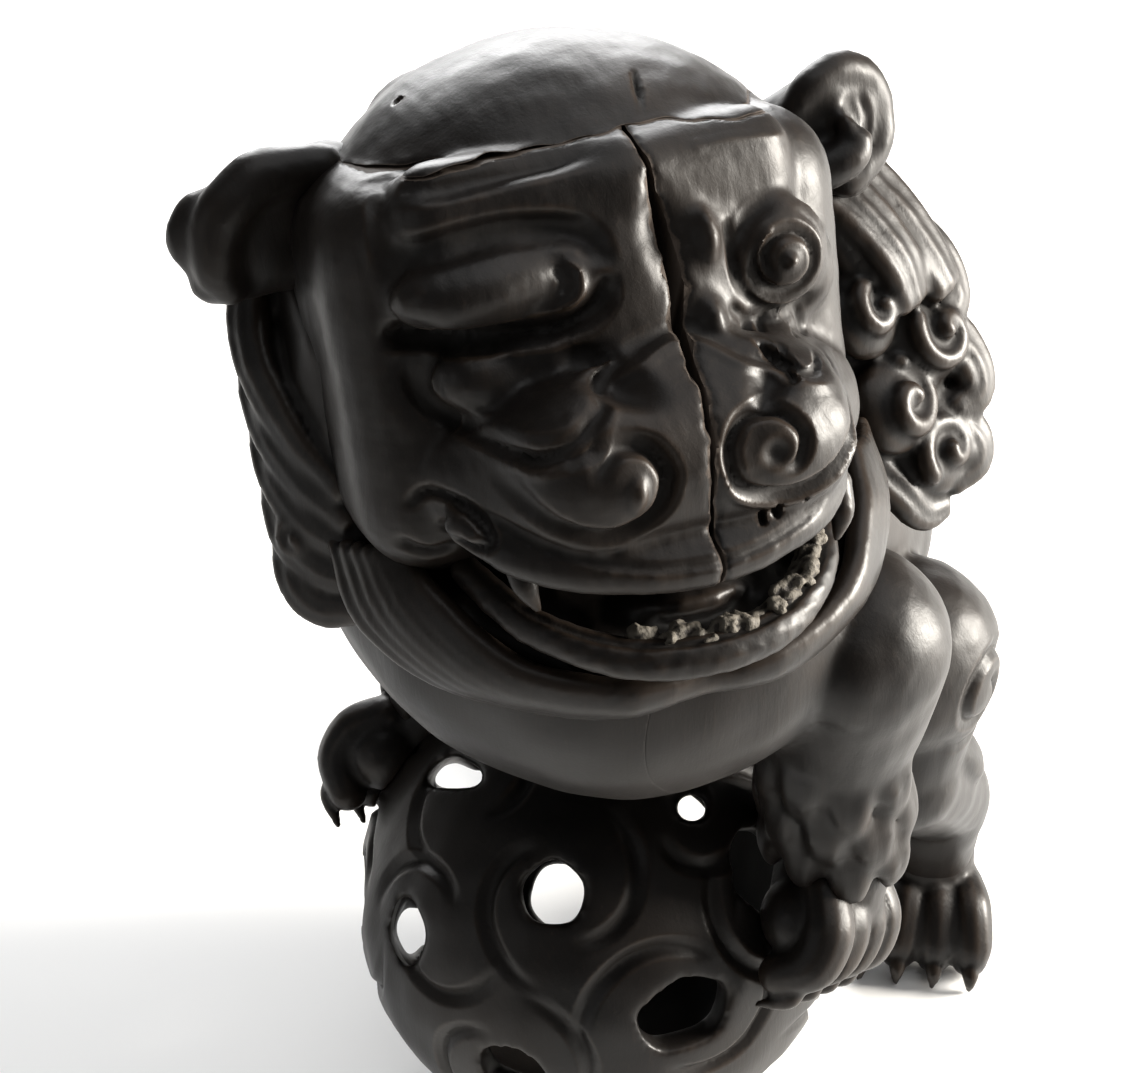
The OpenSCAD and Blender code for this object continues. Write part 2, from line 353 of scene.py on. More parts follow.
class Chisel:
    """Carving strokes on the vertices of one mesh."""

    def __init__(self, mesh: bpy.types.Mesh) -> None:
        """Reads the mesh's vertices and normals."""
        self.mesh = mesh
        self.read()

    def read(self) -> None:
        """Reads vertex places and normals."""
        count = len(self.mesh.vertices)
        flat = np.zeros(count * 3)
        self.mesh.vertices.foreach_get("co", flat)
        self.co = flat.reshape(-1, 3).copy()
        self.mesh.vertex_normals.foreach_get("vector", flat)
        self.normal = flat.reshape(-1, 3).copy()

    def write(self) -> bpy.types.Mesh:
        """Writes the vertices back and returns the mesh."""
        self.mesh.vertices.foreach_set("co", self.co.ravel())
        self.mesh.update()
        return self.mesh

    def settle(self) -> "Chisel":
        """Writes the strokes made so far and reads fresh normals."""
        self.write()
        self.read()
        return self

    def push(self, amount: Array) -> "Chisel":
        """Moves every vertex inwards along its normal by an amount."""
        self.co -= self.normal * amount[:, None]
        return self

    def facing(self, out: Point, least: float = 0.1, fade: float = 0.25) -> Array:
        """Returns 1 where the surface faces a direction, fading to 0 where it turns away."""
        direction = np.asarray(out, float) / np.linalg.norm(out)
        return smooth_step((self.normal @ direction - least) / fade)

    def plane(self, out: Point) -> Array:
        """Returns the vertices as seen along a direction: right and up coordinates.

        Args:
            out: Direction that the carved side faces in. Right and up are those of a viewer who looks back.

        Returns:
            Two coordinates for each vertex.
        """
        look = -np.asarray(out, float) / np.linalg.norm(out)
        right = np.cross(look, (0, 0, 1))
        right /= np.linalg.norm(right)
        return np.stack([self.co @ right, self.co @ np.cross(right, look)], -1)

    def stroke(self, path: Sequence[Point], width: float, depth: float, out: Point | None = None,
               taper: float = 0.25, sharp: bool = True, reach: Array | None = None) -> "Chisel":
        """Cuts a groove along a path, or raises a ridge where depth is negative.

        Args:
            path: Points in space, or in the plane seen from out.
            width: Half width of the cut.
            depth: Depth at the middle of the cut.
            out: Direction the stroke is seen from, or None for a path in space.
            taper: Share of the path over which each end fades.
            sharp: Cuts a V; otherwise a rounded trough.
            reach: Optional 0 to 1 weight of each vertex.

        Returns:
            This chisel.
        """
        path = np.asarray(path, float)
        if out is None:
            spots, weight = self.co, np.ones(len(self.co))
        else:
            spots, weight = self.plane(out), self.facing(out)
        if reach is not None:
            weight = weight * reach
        low, high = path.min(0) - width, path.max(0) + width
        index = np.flatnonzero(np.all(spots > low, 1) & np.all(spots < high, 1) & (weight > 0))
        if not len(index):
            return self
        best = np.full(len(index), 1e9)
        place = np.zeros(len(index))
        for i, (a, b) in enumerate(zip(path, path[1:])):
            step = b - a
            t = np.clip(((spots[index] - a) @ step) / max(step @ step, 1e-9), 0, 1)
            d = np.linalg.norm(spots[index] - a - t[:, None] * step, axis=1)
            closer = d < best
            best[closer] = d[closer]
            place[closer] = (i + t[closer]) / (len(path) - 1)
        fall = np.clip(1 - best / width, 0, 1)
        shape = fall if sharp else smooth_step(fall)
        ends = smooth_step(np.minimum(place, 1 - place) / taper) if taper else 1.0
        amount = np.zeros(len(self.co))
        amount[index] = depth * shape * ends * weight[index]
        return self.push(amount)

    def mound(self, centre: Point, half: Point, height: float, out: Point | None = None, turn: float = 0.0,
              edge: float = 1.0) -> "Chisel":
        """Raises an oval mound, or sinks a hollow where height is negative.

        Args:
            centre: Its centre in space, or in the plane seen from out.
            half: Its half sizes.
            height: Height at the middle.
            out: Direction it is seen from, or None for a place in space.
            turn: Turn of the oval in degrees, in that plane.
            edge: Share of the half size over which the height builds up.

        Returns:
            This chisel.
        """
        spots = self.co if out is None else self.plane(out)
        away = spots - np.asarray(centre, float)
        if out is not None:
            a = math.radians(turn)
            away = away @ np.array([[math.cos(a), -math.sin(a)], [math.sin(a), math.cos(a)]])
        ratio = np.linalg.norm(away / np.asarray(half, float), axis=1)
        weight = 1.0 if out is None else self.facing(out)
        return self.push(-height * smooth_step((1 - ratio) / edge) * weight)

    def rough(self, size: float, height: float, seed: int = 0) -> "Chisel":
        """Adds soft seeded unevenness, as from hand tools.

        Args:
            size: Wavelength of the unevenness.
            height: Largest height.
            seed: Number that picks the pattern.

        Returns:
            This chisel.
        """
        rng = np.random.default_rng(SEED + seed)
        total = np.zeros(len(self.co))
        for _ in range(7):
            wave = rng.normal(size=3)
            wave *= 2 * math.pi / (size * rng.uniform(0.7, 1.5)) / np.linalg.norm(wave)
            total += np.sin(self.co @ wave + rng.uniform(0, 6.3))
        return self.push(total * height / 4)


Cut = Callable[[Array], Array]


@dataclass(frozen=True)
class Joint:
    """A glue joint that has opened: a wavy cut between two blocks.

    Attributes:
        side: Returns how far each point lies past the cut, in millimetres.
        axis: Index of the axis that the cut runs square to.
        open_half: Returns half the gap at each point.
        wear: Width of the worn strip along the edge.
        chip: Depth of the chips along the edge.
    """

    side: Cut
    axis: int
    open_half: Cut
    wear: float = 1.6
    chip: float = 0.5


def closed_gap(points: Array) -> Array:
    """Returns the half gap of a joint that has stayed tight."""
    return np.full(len(points), TIGHT_GAP)


def flat_cut(axis: int, at: float) -> Cut:
    """Returns a cut that is square to an axis at a place."""
    return lambda points: points[:, axis] - at


def split(mesh: bpy.types.Mesh, cuts: Sequence[tuple[Joint, int]],
          seed: int = 0) -> tuple[bpy.types.Mesh, Array]:
    """Keeps the part of a block that lies on the wanted side of every joint.

    Args:
        mesh: The whole carved mass, which is left as it is.
        cuts: Each joint with +1 to keep what lies past it or -1 to keep what lies before it.
        seed: Number that picks the chips.

    Returns:
        The block, and how worn each of its vertices is.
    """
    block = mesh.copy()
    rng = np.random.default_rng(SEED + seed)
    phase = rng.uniform(0, 2 * math.pi, 2)

    def strip(points: Array, joint: Joint, keep: int) -> Array:
        """Returns how near each point lies to the ragged edge of a joint, from 0 to 1."""
        past = np.abs(keep * joint.side(points) - joint.open_half(points))
        ragged = np.sin(points @ (0.7, 0.6, 0.8) + phase[0]) * np.sin(points @ (0.3, 1.1, 0.4) + phase[1])
        return np.clip(1 - past / (joint.wear * (0.9 + 0.5 * ragged)), 0, 1)

    chisel = Chisel(block)
    mark_crests(block)
    for joint, keep in cuts:
        chisel.push(strip(chisel.co, joint, keep) ** 2 * joint.chip)
    chisel.write()
    for joint, keep in cuts:
        flat = np.zeros(len(block.vertices) * 3)
        block.vertices.foreach_get("co", flat)
        co = flat.reshape(-1, 3)
        shift = joint.side(co) - keep * joint.open_half(co) - co[:, joint.axis]
        co[:, joint.axis] += shift
        block.vertices.foreach_set("co", co.ravel())
        keep_attribute(block, "shift", shift)
        bm = bmesh.new()
        bm.from_mesh(block)
        normal = Vector((0, 0, 0))
        normal[joint.axis] = float(keep)
        geom = list(bm.verts) + list(bm.edges) + list(bm.faces)
        made = bmesh.ops.bisect_plane(bm, geom=geom, dist=1e-5, plane_co=(0, 0, 0), plane_no=normal,
                                      clear_inner=True)
        rim = [e for e in made["geom_cut"] if isinstance(e, bmesh.types.BMEdge)]
        bmesh.ops.holes_fill(bm, edges=rim, sides=0)
        bmesh.ops.triangulate(bm, faces=[f for f in bm.faces if len(f.verts) > 4])
        bm.to_mesh(block)
        bm.free()
        back = Chisel(block)
        back.co[:, joint.axis] -= read_attribute(block, "shift")
        back.write()
    block.attributes.remove(block.attributes["shift"])
    worn = np.zeros(len(block.vertices))
    places = Chisel(block).co
    for joint, keep in cuts:
        if joint.chip > 0:
            worn = np.maximum(worn, strip(places, joint, keep))
    return block, worn


# ---------------------------------------------------------------- pieces


def neighbour_mean(mesh: bpy.types.Mesh, values: Array) -> Array:
    """Returns the mean of each vertex's neighbours for an array of values."""
    pairs = np.zeros(len(mesh.edges) * 2, np.int32)
    mesh.edges.foreach_get("vertices", pairs)
    a, b = pairs.reshape(-1, 2).T
    ends, others = np.concatenate([a, b]), np.concatenate([b, a])
    count = np.bincount(ends, minlength=len(values)).clip(1)
    columns = values.reshape(len(values), -1).T
    total = [np.bincount(ends, column[others], len(values)) / count for column in columns]
    return np.stack(total, -1).reshape(values.shape)


def keep_attribute(mesh: bpy.types.Mesh, name: str, values: Array) -> None:
    """Stores one number per vertex under a name."""
    layer = mesh.attributes.get(name) or mesh.attributes.new(name, "FLOAT", "POINT")
    layer.data.foreach_set("value", values.astype(np.float32))


def read_attribute(mesh: bpy.types.Mesh, name: str) -> Array:
    """Reads the number that each vertex holds under a name."""
    values = np.zeros(len(mesh.vertices), np.float32)
    mesh.attributes[name].data.foreach_get("value", values)
    return values


def mark_crests(mesh: bpy.types.Mesh) -> None:
    """Stores how far each vertex stands proud of its neighbours, from -1 in a hollow to 1 on a crest."""
    chisel = Chisel(mesh)
    crest = ((chisel.co - neighbour_mean(mesh, chisel.co)) * chisel.normal).sum(1)
    for _ in range(2):
        crest = 0.5 * crest + 0.5 * neighbour_mean(mesh, crest)
    keep_attribute(mesh, "crest", np.clip(crest * CREST_GAIN, -1, 1))


def finish_piece(name: str, mesh: bpy.types.Mesh, frame: Frame, finish: bpy.types.Material,
                 nodes: Sequence[str], worn: Array | None = None) -> None:
    """Turns a carved mesh into a finished piece of the statue.

    Args:
        name: Name of the piece.
        mesh: Its mesh, in the millimetres of its frame.
        frame: The frame it was carved in.
        finish: Its material.
        nodes: The CAD nodes that it replaces.
        worn: How worn each vertex is, or None.
    """
    if "crest" not in mesh.attributes:
        mark_crests(mesh)
    keep_attribute(mesh, "worn", worn if worn is not None else np.zeros(len(mesh.vertices)))
    mesh.transform(frame.to_row())
    mesh.polygons.foreach_set("use_smooth", [True] * len(mesh.polygons))
    mesh.set_sharp_from_angle(angle=SHARP_ANGLE)
    mesh.materials.clear()
    mesh.materials.append(finish)
    piece = bpy.data.objects.new(name, mesh)
    bpy.context.scene.collection.objects.link(piece)
    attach(piece, "root")
    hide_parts(*nodes)
    log.info("%s: %d faces", name, len(mesh.polygons))


# ---------------------------------------------------------------- shading


class Num:
    """A number inside a material: Python arithmetic on it adds Math nodes."""

    def __init__(self, graph: "Graph", socket: bpy.types.NodeSocket) -> None:
        """Wraps one output socket of a graph."""
        self.graph = graph
        self.socket = socket

    def math(self, operation: str, *others: "Num | float", clamp: bool = False) -> "Num":
        """Returns the result of a Math node on this number and others."""
        values = dict(enumerate((self, *others)))
        return self.graph.add("ShaderNodeMath", {"operation": operation, "use_clamp": clamp}, values)

    def __add__(self, other: "Num | float") -> "Num":
        """Returns the sum."""
        return self.math("ADD", other)

    def __sub__(self, other: "Num | float") -> "Num":
        """Returns the difference."""
        return self.math("SUBTRACT", other)

    def __rsub__(self, other: float) -> "Num":
        """Returns the difference from a plain number."""
        return (self * -1.0) + other

    def __mul__(self, other: "Num | float") -> "Num":
        """Returns the product."""
        return self.math("MULTIPLY", other)

    __radd__ = __add__
    __rmul__ = __mul__

    def clamped(self) -> "Num":
        """Returns the number held between 0 and 1."""
        return self.math("ADD", 0.0, clamp=True)

    def between(self, low: float, high: float) -> "Num":
        """Returns 0 below low, 1 above high and a smooth step in between."""
        settings = {"interpolation_type": "SMOOTHSTEP"}
        return self.graph.add("ShaderNodeMapRange", settings, {0: self, 1: low, 2: high, 3: 0.0, 4: 1.0})


class Graph:
    """Builds one material's nodes."""

    def __init__(self, name: str) -> None:
        """Starts a material with an empty tree."""
        self.material = bpy.data.materials.new(name)
        self.material.use_nodes = True
        self.tree = self.material.node_tree
        self.tree.nodes.clear()

    def add(self, kind: str, settings: dict | None = None, inputs: dict | None = None,
            output: int | str = 0) -> "Num | None":
        """Adds a node.

        Args:
            kind: Node type.
            settings: Properties to set first.
            inputs: Socket name or index to a value, or to another number or colour.
            output: The output to return.

        Returns:
            The chosen output.
        """
        node = self.tree.nodes.new(kind)
        for key, value in (settings or {}).items():
            setattr(node, key, value)
        for key, value in (inputs or {}).items():
            if isinstance(value, Num):
                self.tree.links.new(value.socket, node.inputs[key])
            else:
                node.inputs[key].default_value = value
        return Num(self, node.outputs[output]) if node.outputs else None

    def place(self, scale: Point = (1, 1, 1), turn: Point = (0, 0, 0)) -> Num:
        """Returns object coordinates, scaled and turned."""
        where = self.add("ShaderNodeTexCoord", output="Object")
        angles = tuple(math.radians(a) for a in turn)
        inputs = {"Vector": where, "Rotation": angles, "Scale": tuple(scale)}
        return self.add("ShaderNodeMapping", inputs=inputs)

    def noise(self, where: Num, scale: float, detail: float = 3.0, rough: float = 0.5,
              twist: float = 0.0) -> Num:
        """Returns a noise pattern."""
        inputs = {"Vector": where, "Scale": scale, "Detail": detail, "Roughness": rough, "Distortion": twist}
        return self.add("ShaderNodeTexNoise", inputs=inputs)

    def mark(self, name: str) -> Num:
        """Returns a number stored on the mesh."""
        return self.add("ShaderNodeAttribute", {"attribute_name": name}, output="Fac")

    def mix(self, factor: Num | float, low: Num | tuple, high: Num | tuple) -> Num:
        """Mixes two colours."""
        settings = {"data_type": "RGBA", "blend_type": "MIX", "clamp_factor": True}
        colours = [c if isinstance(c, Num) else (*c, 1.0) for c in (low, high)]
        return self.add("ShaderNodeMix", settings, {0: factor, 6: colours[0], 7: colours[1]}, output=2)

    def bump(self, height: Num, strength: float, distance: float) -> Num:
        """Returns a normal that is bent by a height."""
        return self.add("ShaderNodeBump", inputs={"Height": height, "Strength": strength,
                                                  "Distance": distance})

    def close(self, **inputs: object) -> bpy.types.Material:
        """Ends the tree in one surface shader and returns the material."""
        named = {key.replace("_", " "): value for key, value in inputs.items()}
        shader = self.add("ShaderNodeBsdfPrincipled", inputs=named)
        self.add("ShaderNodeOutputMaterial", inputs={"Surface": shader})
        return self.material


@dataclass(frozen=True)
class Lacquer:
    """Satin near-black lacquer on carved hardwood.

    Attributes:
        deep: Colour in the thick lacquer.
        warm: Colour where the wood shows through, also painted on the crests as a highlight.
        bare: Colour of dry, worn wood.
        dust: Colour of the dust that sits in the hollows.
        sheen: Roughness of clean lacquer.
        gloss: Strength of its reflection.
        cloud_scale: Scale of the broad changes of tone.
        patch_scale: Scale of the rubbed patches, which also break up the painted highlight on the crests.
        grain_scale: Scale of the fine grain.
        speck_scale: Scale of the specks.
        relief: Strength and depth of the fine relief.
    """

    deep: Point = (0.005, 0.0044, 0.0043)
    warm: Point = (0.024, 0.0165, 0.0115)
    bare: Point = (0.05, 0.038, 0.03)
    dust: Point = (0.017, 0.0155, 0.0145)
    sheen: float = 0.34
    gloss: float = 0.25
    cloud_scale: float = 22
    patch_scale: float = 70
    grain_scale: float = 900
    speck_scale: float = 1500
    relief: Point = (0.35, 0.0004)

    def material(self, name: str) -> bpy.types.Material:
        """Returns the finish."""
        g = Graph(name)
        where = g.place()
        cloud = g.noise(where, self.cloud_scale, 4, 0.6)
        patch = g.noise(where, self.patch_scale, 3, 0.6)
        grain = g.noise(g.place((1, 1, 0.09), (8, 5, 0)), self.grain_scale, 3, 0.6, 0.4)
        speck = g.noise(where, self.speck_scale, 2, 0.6)
        crest = g.mark("crest")
        worn = g.mark("worn")
        # Crests are lightened towards the warm colour: partly rubbed wear, partly a painted highlight.
        rubbed_and_highlight = (crest * 1.1 + (patch - 0.5) * 1.2).between(0.12, 0.7)
        hollow = (crest * -1.0 + (cloud - 0.5) * 0.5).between(0.12, 0.6)
        bare = (worn * 1.2 + (patch - 0.5) * 1.1 + (speck - 0.5) * 0.6).between(0.62, 1.0)
        base = g.mix((cloud - 0.35) * 1.1, self.deep, self.warm)
        base = g.mix(hollow * 0.5, base, self.dust)
        # Painted highlight and rubbed wear on the crests.
        base = g.mix(rubbed_and_highlight * 0.6, base, self.warm)
        base = g.mix(grain.between(0.55, 0.75) * 0.25, base, self.warm)
        base = g.mix(bare, base, self.bare)
        rough = self.sheen + (cloud - 0.5) * 0.3 + patch * 0.12 + grain * 0.08
        rough = rough + hollow * 0.22 + bare * 0.35 - rubbed_and_highlight * 0.05
        height = grain * 0.35 + patch * 0.5 + speck * 0.15
        return g.close(
            Base_Color=base,
            Roughness=rough.clamped(),
            Normal=g.bump(height, *self.relief),
            Specular_IOR_Level=self.gloss,
        )


@dataclass(frozen=True)
class WornWood:
    """Dry, crumbling wood that has lost its lacquer."""

    pale: Point = (0.085, 0.074, 0.058)
    brown: Point = (0.022, 0.017, 0.013)
    patch_scale: float = 240
    fibre_scale: float = 1400
    relief: Point = (0.6, 0.0006)

    def material(self, name: str) -> bpy.types.Material:
        """Returns the finish."""
        g = Graph(name)
        where = g.place()
        patch = g.noise(where, self.patch_scale, 4, 0.65)
        fine = g.noise(where, self.fibre_scale, 3, 0.6)
        crest = g.mark("crest")
        shown = (patch * 0.9 + fine * 0.3 + crest * 0.5).between(0.42, 0.72)
        base = g.mix(shown, self.brown, self.pale)
        rough = (0.62 + fine * 0.25).clamped()
        return g.close(Base_Color=base, Roughness=rough, Normal=g.bump(patch + fine, *self.relief))


@dataclass(frozen=True)
class BareWood:
    """Plain turned dowel, with grain along its length."""

    light: Point = (0.34, 0.21, 0.12)
    dark: Point = (0.15, 0.08, 0.045)
    grain_scale: float = 700
    relief: Point = (0.3, 0.0003)

    def material(self, name: str) -> bpy.types.Material:
        """Returns the finish."""
        g = Graph(name)
        grain = g.noise(g.place((0.1, 1, 1)), self.grain_scale, 3, 0.6)
        base = g.mix(grain, self.dark, self.light)
        rough = (0.5 + grain * 0.2).clamped()
        return g.close(Base_Color=base, Roughness=rough, Normal=g.bump(grain, *self.relief))


@dataclass(frozen=True)
class PaleFloor:
    """Plain pale studio floor."""

    colour: Point = (0.9, 0.9, 0.895)

    def material(self, name: str) -> bpy.types.Material:
        """Returns the finish."""
        g = Graph(name)
        soft = g.noise(g.place(), 3, 2, 0.5)
        base = g.mix(soft * 0.1, self.colour, tuple(c * 0.96 for c in self.colour))
        return g.close(Base_Color=base, Roughness=0.6)


# ---------------------------------------------------------------- head

FRONT = (0.0, -1.0, 0.0)
SEAM_Z = 40.0
BITE_Z = -33.0
NAPE_Y = 8.0


@dataclass
class Head:
    """The head, carved whole and split at its glue joints into a crown, two face blocks and a back block.

    Attributes:
        lacquer: Finish of the carved blocks.
        grid: Grid of the fuse.
        crack_z: Heights at which the crack is set out.
        crack_x: Where the crack runs at each height.
        crack_half: Half its opening at each height.
    """

    lacquer: bpy.types.Material
    grid: float = 1.15
    crack_z: tuple[float, ...] = (-34, -13, 3, 8, 16, 25, 33, 42)
    crack_x: tuple[float, ...] = (0.8, 0.2, 2.0, 2.6, 4.2, 4.0, 3.0, 2.0)
    crack_half: tuple[float, ...] = (0.3, 0.45, 0.6, 1.05, 1.6, 1.45, 0.8, 0.3)

    def mass(self) -> bpy.types.Mesh:
        """Returns the whole head without its lower jaw."""
        clay = Clay()
        clay.ball((-2, 6, 10), (51, 48, 46.5), detail=4)
        clay.hull([((x, y, z), 14) for x in (-38, 30) for y in (-14, 10) for z in (-19, 26)])
        clay.hull([((x, y, z), 9) for x, y in ((-31, -25), (0, -29), (24, -24)) for z in (28, 33)])
        clay.hull([((x, -9, 37.5), 11.5) for x in (-19, 15)] + [((x, 20, 37), 14) for x in (-20, 17)])
        snout = [((x * 16, -44, -10), 16) for x in SIDES] + [((x * 28, -24, -13), 14) for x in SIDES]
        clay.hull(snout + [((1, -40, 4), 7)])
        lip = ((-37, -36, -18), (-29, -45, -23), (-15, -53, -26), (0, -55.5, -26.8), (14, -53, -25.4),
               (25, -45, -23.5), (31, -35, -18))
        clay.rope(curve_through(lip, 30), (3.6, 4.4, 4.6, 4.6, 4.4, 4.0))
        clay.hull([((x * 20, -36, -20), 11) for x in SIDES] + [((0, -46, -22), 8)])
        clay.ball((-26, -31, 21), (17, 9.5, 7.2), (0, -3, 0))
        clay.ball((-27, -31.5, 5), (11.5, 6.5, 6.6), (0, 8, 0))
        clay.ball((24.8, -32.5, 17), (10.6, 8, 10.4))
        clay.ball((32, -26, 12), (7, 6.5, 9))
        clay.ball((11, -37, 23), (2.4, 5, 5.5))
        clay.ball((9.5, -40, 10), (2.4, 4.5, 4.6))
        clay.ball((22.5, -35, 4.5), (3.8, 4, 5.0), (0, 12, 0))
        for x in SIDES:
            clay.ball((x * 14, -51.5, -9.5), (12.2, 9.5, 10.8))
        return clay.fuse(self.grid, 3)

    def carve_forms(self, chisel: Chisel) -> None:
        """Sinks the hollows round the brows, the eyes and the snout."""
        chisel.mound((-11, 5.5), (9, 4.5), -3.6, FRONT, -30)
        chisel.mound((14, 2), (6, 4), -3.0, FRONT, 24)
        chisel.mound((-40, 9), (6, 14), -1.6, FRONT)
        chisel.mound((3.4, 25), (5.5, 13), -1.8, FRONT)
        for x in SIDES:
            chisel.mound((x * 34, -8), (8, 12), -1.4, FRONT)
        chisel.settle()

    def carve_lines(self, chisel: Chisel) -> None:
        """Cuts the crisp lines of the face."""
        self.carve_left_brow(chisel)
        self.carve_right_brow(chisel)
        chisel.settle()
        self.carve_snout(chisel)
        self.carve_wear(chisel)

    def carve_left_brow(self, chisel: Chisel) -> None:
        """Cuts the broad brow lobe over the wide eye, and the eye's lids."""
        lower = curve_through([(-46, 15), (-38, 13.4), (-26, 12.8), (-16, 13.4), (-9.5, 16.5), (-8, 22)])
        chisel.stroke(lower, 3.0, 3.6, FRONT, taper=0.18)
        upper = curve_through([(-8, 21), (-10, 27.5), (-20, 30), (-32, 29.5), (-44, 27)])
        chisel.stroke(upper, 3.8, 2.2, FRONT, taper=0.2, sharp=False)
        chisel.stroke(curve_through([(-15, 25), (-12, 22), (-13.2, 17.5), (-18, 15.6)]), 1.3, -0.8, FRONT)
        chisel.stroke(curve_through([(-16.5, 23.5), (-14.8, 21), (-16, 18.5)]), 1.2, 0.6, FRONT)
        panel = [(-44, 22), (-43.5, 33), (-40, 37.4), (-26, 38), (-8, 38)]
        chisel.stroke(curve_through(panel), 1.6, -0.4, FRONT, taper=0.15)
        undercut = [(x, SEAM_Z - 1.8 + 2.2 * math.exp(-((x / 22) ** 2))) for x in range(-44, 1, 4)]
        chisel.stroke(curve_through(undercut), 2.8, 1.9, FRONT, taper=0.3, sharp=False)
        chisel.stroke(curve_through([(-41, 10), (-38, 1), (-29, -3.6), (-20, -2.6), (-15, 3)]), 2.2, 1.5,
                      FRONT)
        chisel.stroke(curve_through([(-36, 3.5), (-30, 0.2), (-23, 0.4), (-18, 3)]), 1.3, -0.5, FRONT)

    def carve_right_brow(self, chisel: Chisel) -> None:
        """Cuts the ringed brow boss over the narrowed eye."""
        centre = (25.2, 17)
        chisel.stroke(spiral(centre, 9.6, 8.4, 1.0, 80), 1.8, 1.0, FRONT, taper=0.1)
        chisel.stroke(spiral(centre, 6.8, 4.2, 1.35, 120), 1.7, 1.9, FRONT, taper=0.15)
        chisel.mound(centre, (2.3, 2.3), 1.6, FRONT)
        chisel.stroke(spiral(centre, 8.2, 8.0, 0.45, 200), 0.9, -0.5, FRONT)
        chisel.stroke(curve_through([(16.2, 26), (15.4, 21), (16, 14)]), 1.4, 1.2, FRONT)
        chisel.stroke(curve_through([(35, 8.5), (26, 6.4), (17, 8.4), (13.5, 12.5)]), 1.8, 1.5, FRONT,
                      taper=0.2)
        chisel.stroke([(16, 8.5), (17, 4.5), (18.5, 0)], 1.7, 2.8, FRONT, taper=0.3)
        chisel.stroke(spiral((22.6, 4.6), 3.7, 3.3, 1, 90), 0.9, 0.8, FRONT, taper=0)
        chisel.stroke(curve_through([(34, 36), (20, 37.6), (8, 38)]), 1.5, -0.4, FRONT)
        chisel.stroke(curve_through([(28, 8), (30, 2), (28, -2)]), 1.4, 1.0, FRONT)

    def carve_snout(self, chisel: Chisel) -> None:
        """Cuts the bridge, the comma nostrils and the lip line."""
        bridge = curve_through([(-33, -5), (-25, -3.4), (-17, 1.2), (-9, 7), (2.4, 10.4), (12, 5.5),
                                (20, 1.8), (27, 0)], 40)
        chisel.stroke(bridge, 1.8, 1.0, FRONT, taper=0.12)
        chisel.stroke(bridge - (0, 1.8), 1.4, -0.5, FRONT, taper=0.12)
        soft = [(-31, -3), (-30.4, -9.6), (-25.4, -15.6), (-17.4, -18.2), (-9.8, -15.4), (-7.0, -9.2),
                (-9.6, -3.8), (-15, -2.6), (-18.6, -6.2), (-17.2, -10.4)]
        chisel.stroke(curve_through(soft, 60), 2.5, 2.5, FRONT, taper=0.3, sharp=False)
        chisel.stroke(curve_through(soft[3:8], 30), 2.2, 1.8, FRONT, taper=0.4)
        chisel.mound((-13, -10.8), (2.4, 4.2), 1.4, FRONT, -10)
        crisp = [(30, -3.0), (28.6, -9.6), (22.4, -15), (13, -17), (5.4, -14), (3.8, -7.6), (7.2, -2.6),
                 (13.2, -2.4), (17, -6.8), (15.2, -11.6), (11, -11.6)]
        chisel.stroke(curve_through(crisp, 70), 1.7, 2.3, FRONT, taper=0.16)
        edge = curve_through([(31.4, -3.6), (30.2, -10.8), (23.4, -16.9), (13, -19.2), (4.0, -15.6),
                              (2.0, -7.6)], 40)
        chisel.stroke(edge, 0.9, -0.55, FRONT, taper=0.15)
        chisel.mound((11.6, -9.0), (3.2, 3.4), -1.5, FRONT)
        lip = [(-37, -17), (-31, -20.5), (-24, -24.5), (-12, -28), (0, -29), (12, -27.6), (22, -24.5),
               (29, -17)]
        chisel.stroke(curve_through([(x, z + 3.2) for x, z in lip]), 1.6, 0.6, FRONT, taper=0.1, sharp=False)
        corner = curve_through([(-45, -17), (-41, -13.5), (-36.5, -14.5), (-34.5, -18.5), (-37.5, -21),
                                (-40, -18.6)])
        chisel.stroke(corner, 1.5, 1.6, FRONT, taper=0.15)
        chisel.stroke(curve_through([(-48, -22), (-42, -25.5), (-36, -25)]), 1.6, 1.2, FRONT)

    def carve_wear(self, chisel: Chisel) -> None:
        """Adds the chips, the worm hole and hand-tool unevenness."""
        for centre, half in (((9.5, -21.0), (0.9, 1.5)), ((12.2, -20.4), (1.0, 1.7)),
                             ((17.5, -19.5), (0.45, 0.45))):
            chisel.mound(centre, half, -1.5, FRONT, edge=0.5)
        chisel.mound((-29.5, 1.0, 48.5), (1.0, 1.0, 3.0), -3.0, edge=0.5)
        chisel.stroke(curve_through([(6, -27, 42), (8, -20, 48), (10.5, -12, 53.5), (11, -4, 56)]), 0.9, 1.1)
        chisel.rough(9, 0.10, 1)
        chisel.rough(26, 0.22, 2)
        chisel.rough(2.6, 0.03, 3)

    def crack(self) -> Joint:
        """Returns the median joint that has opened down the face."""
        def side(p: Array) -> Array:
            """Returns how far each point lies past the crack."""
            return p[:, 0] - np.interp(p[:, 2], self.crack_z, self.crack_x) - 0.25 * np.sin(p[:, 2] * 0.9)

        def open_half(p: Array) -> Array:
            """Returns half the gap at each point."""
            return np.interp(p[:, 2], self.crack_z, self.crack_half) * (1 + 0.15 * np.sin(p[:, 2] * 1.7))

        return Joint(side, 0, open_half, wear=1.5, chip=0.5)

    def seam(self) -> Joint:
        """Returns the joint under the crown, widest over the lion's right eye."""
        def side(p: Array) -> Array:
            """Returns how far each point lies above the seam."""
            arch = 2.2 * np.exp(-((p[:, 0] / 22) ** 2))
            return p[:, 2] - SEAM_Z - arch - 0.35 * np.sin(p[:, 0] * 0.21) - 0.15 * np.sin(p[:, 0] * 0.8)

        def open_half(p: Array) -> Array:
            """Returns half the gap at each point, widest over the brow on the lion's right."""
            return 0.1 + 0.4 * np.exp(-(((p[:, 0] + 25) / 10) ** 2)) * (p[:, 1] < 0)

        return Joint(side, 2, open_half, wear=0.3, chip=0.25)

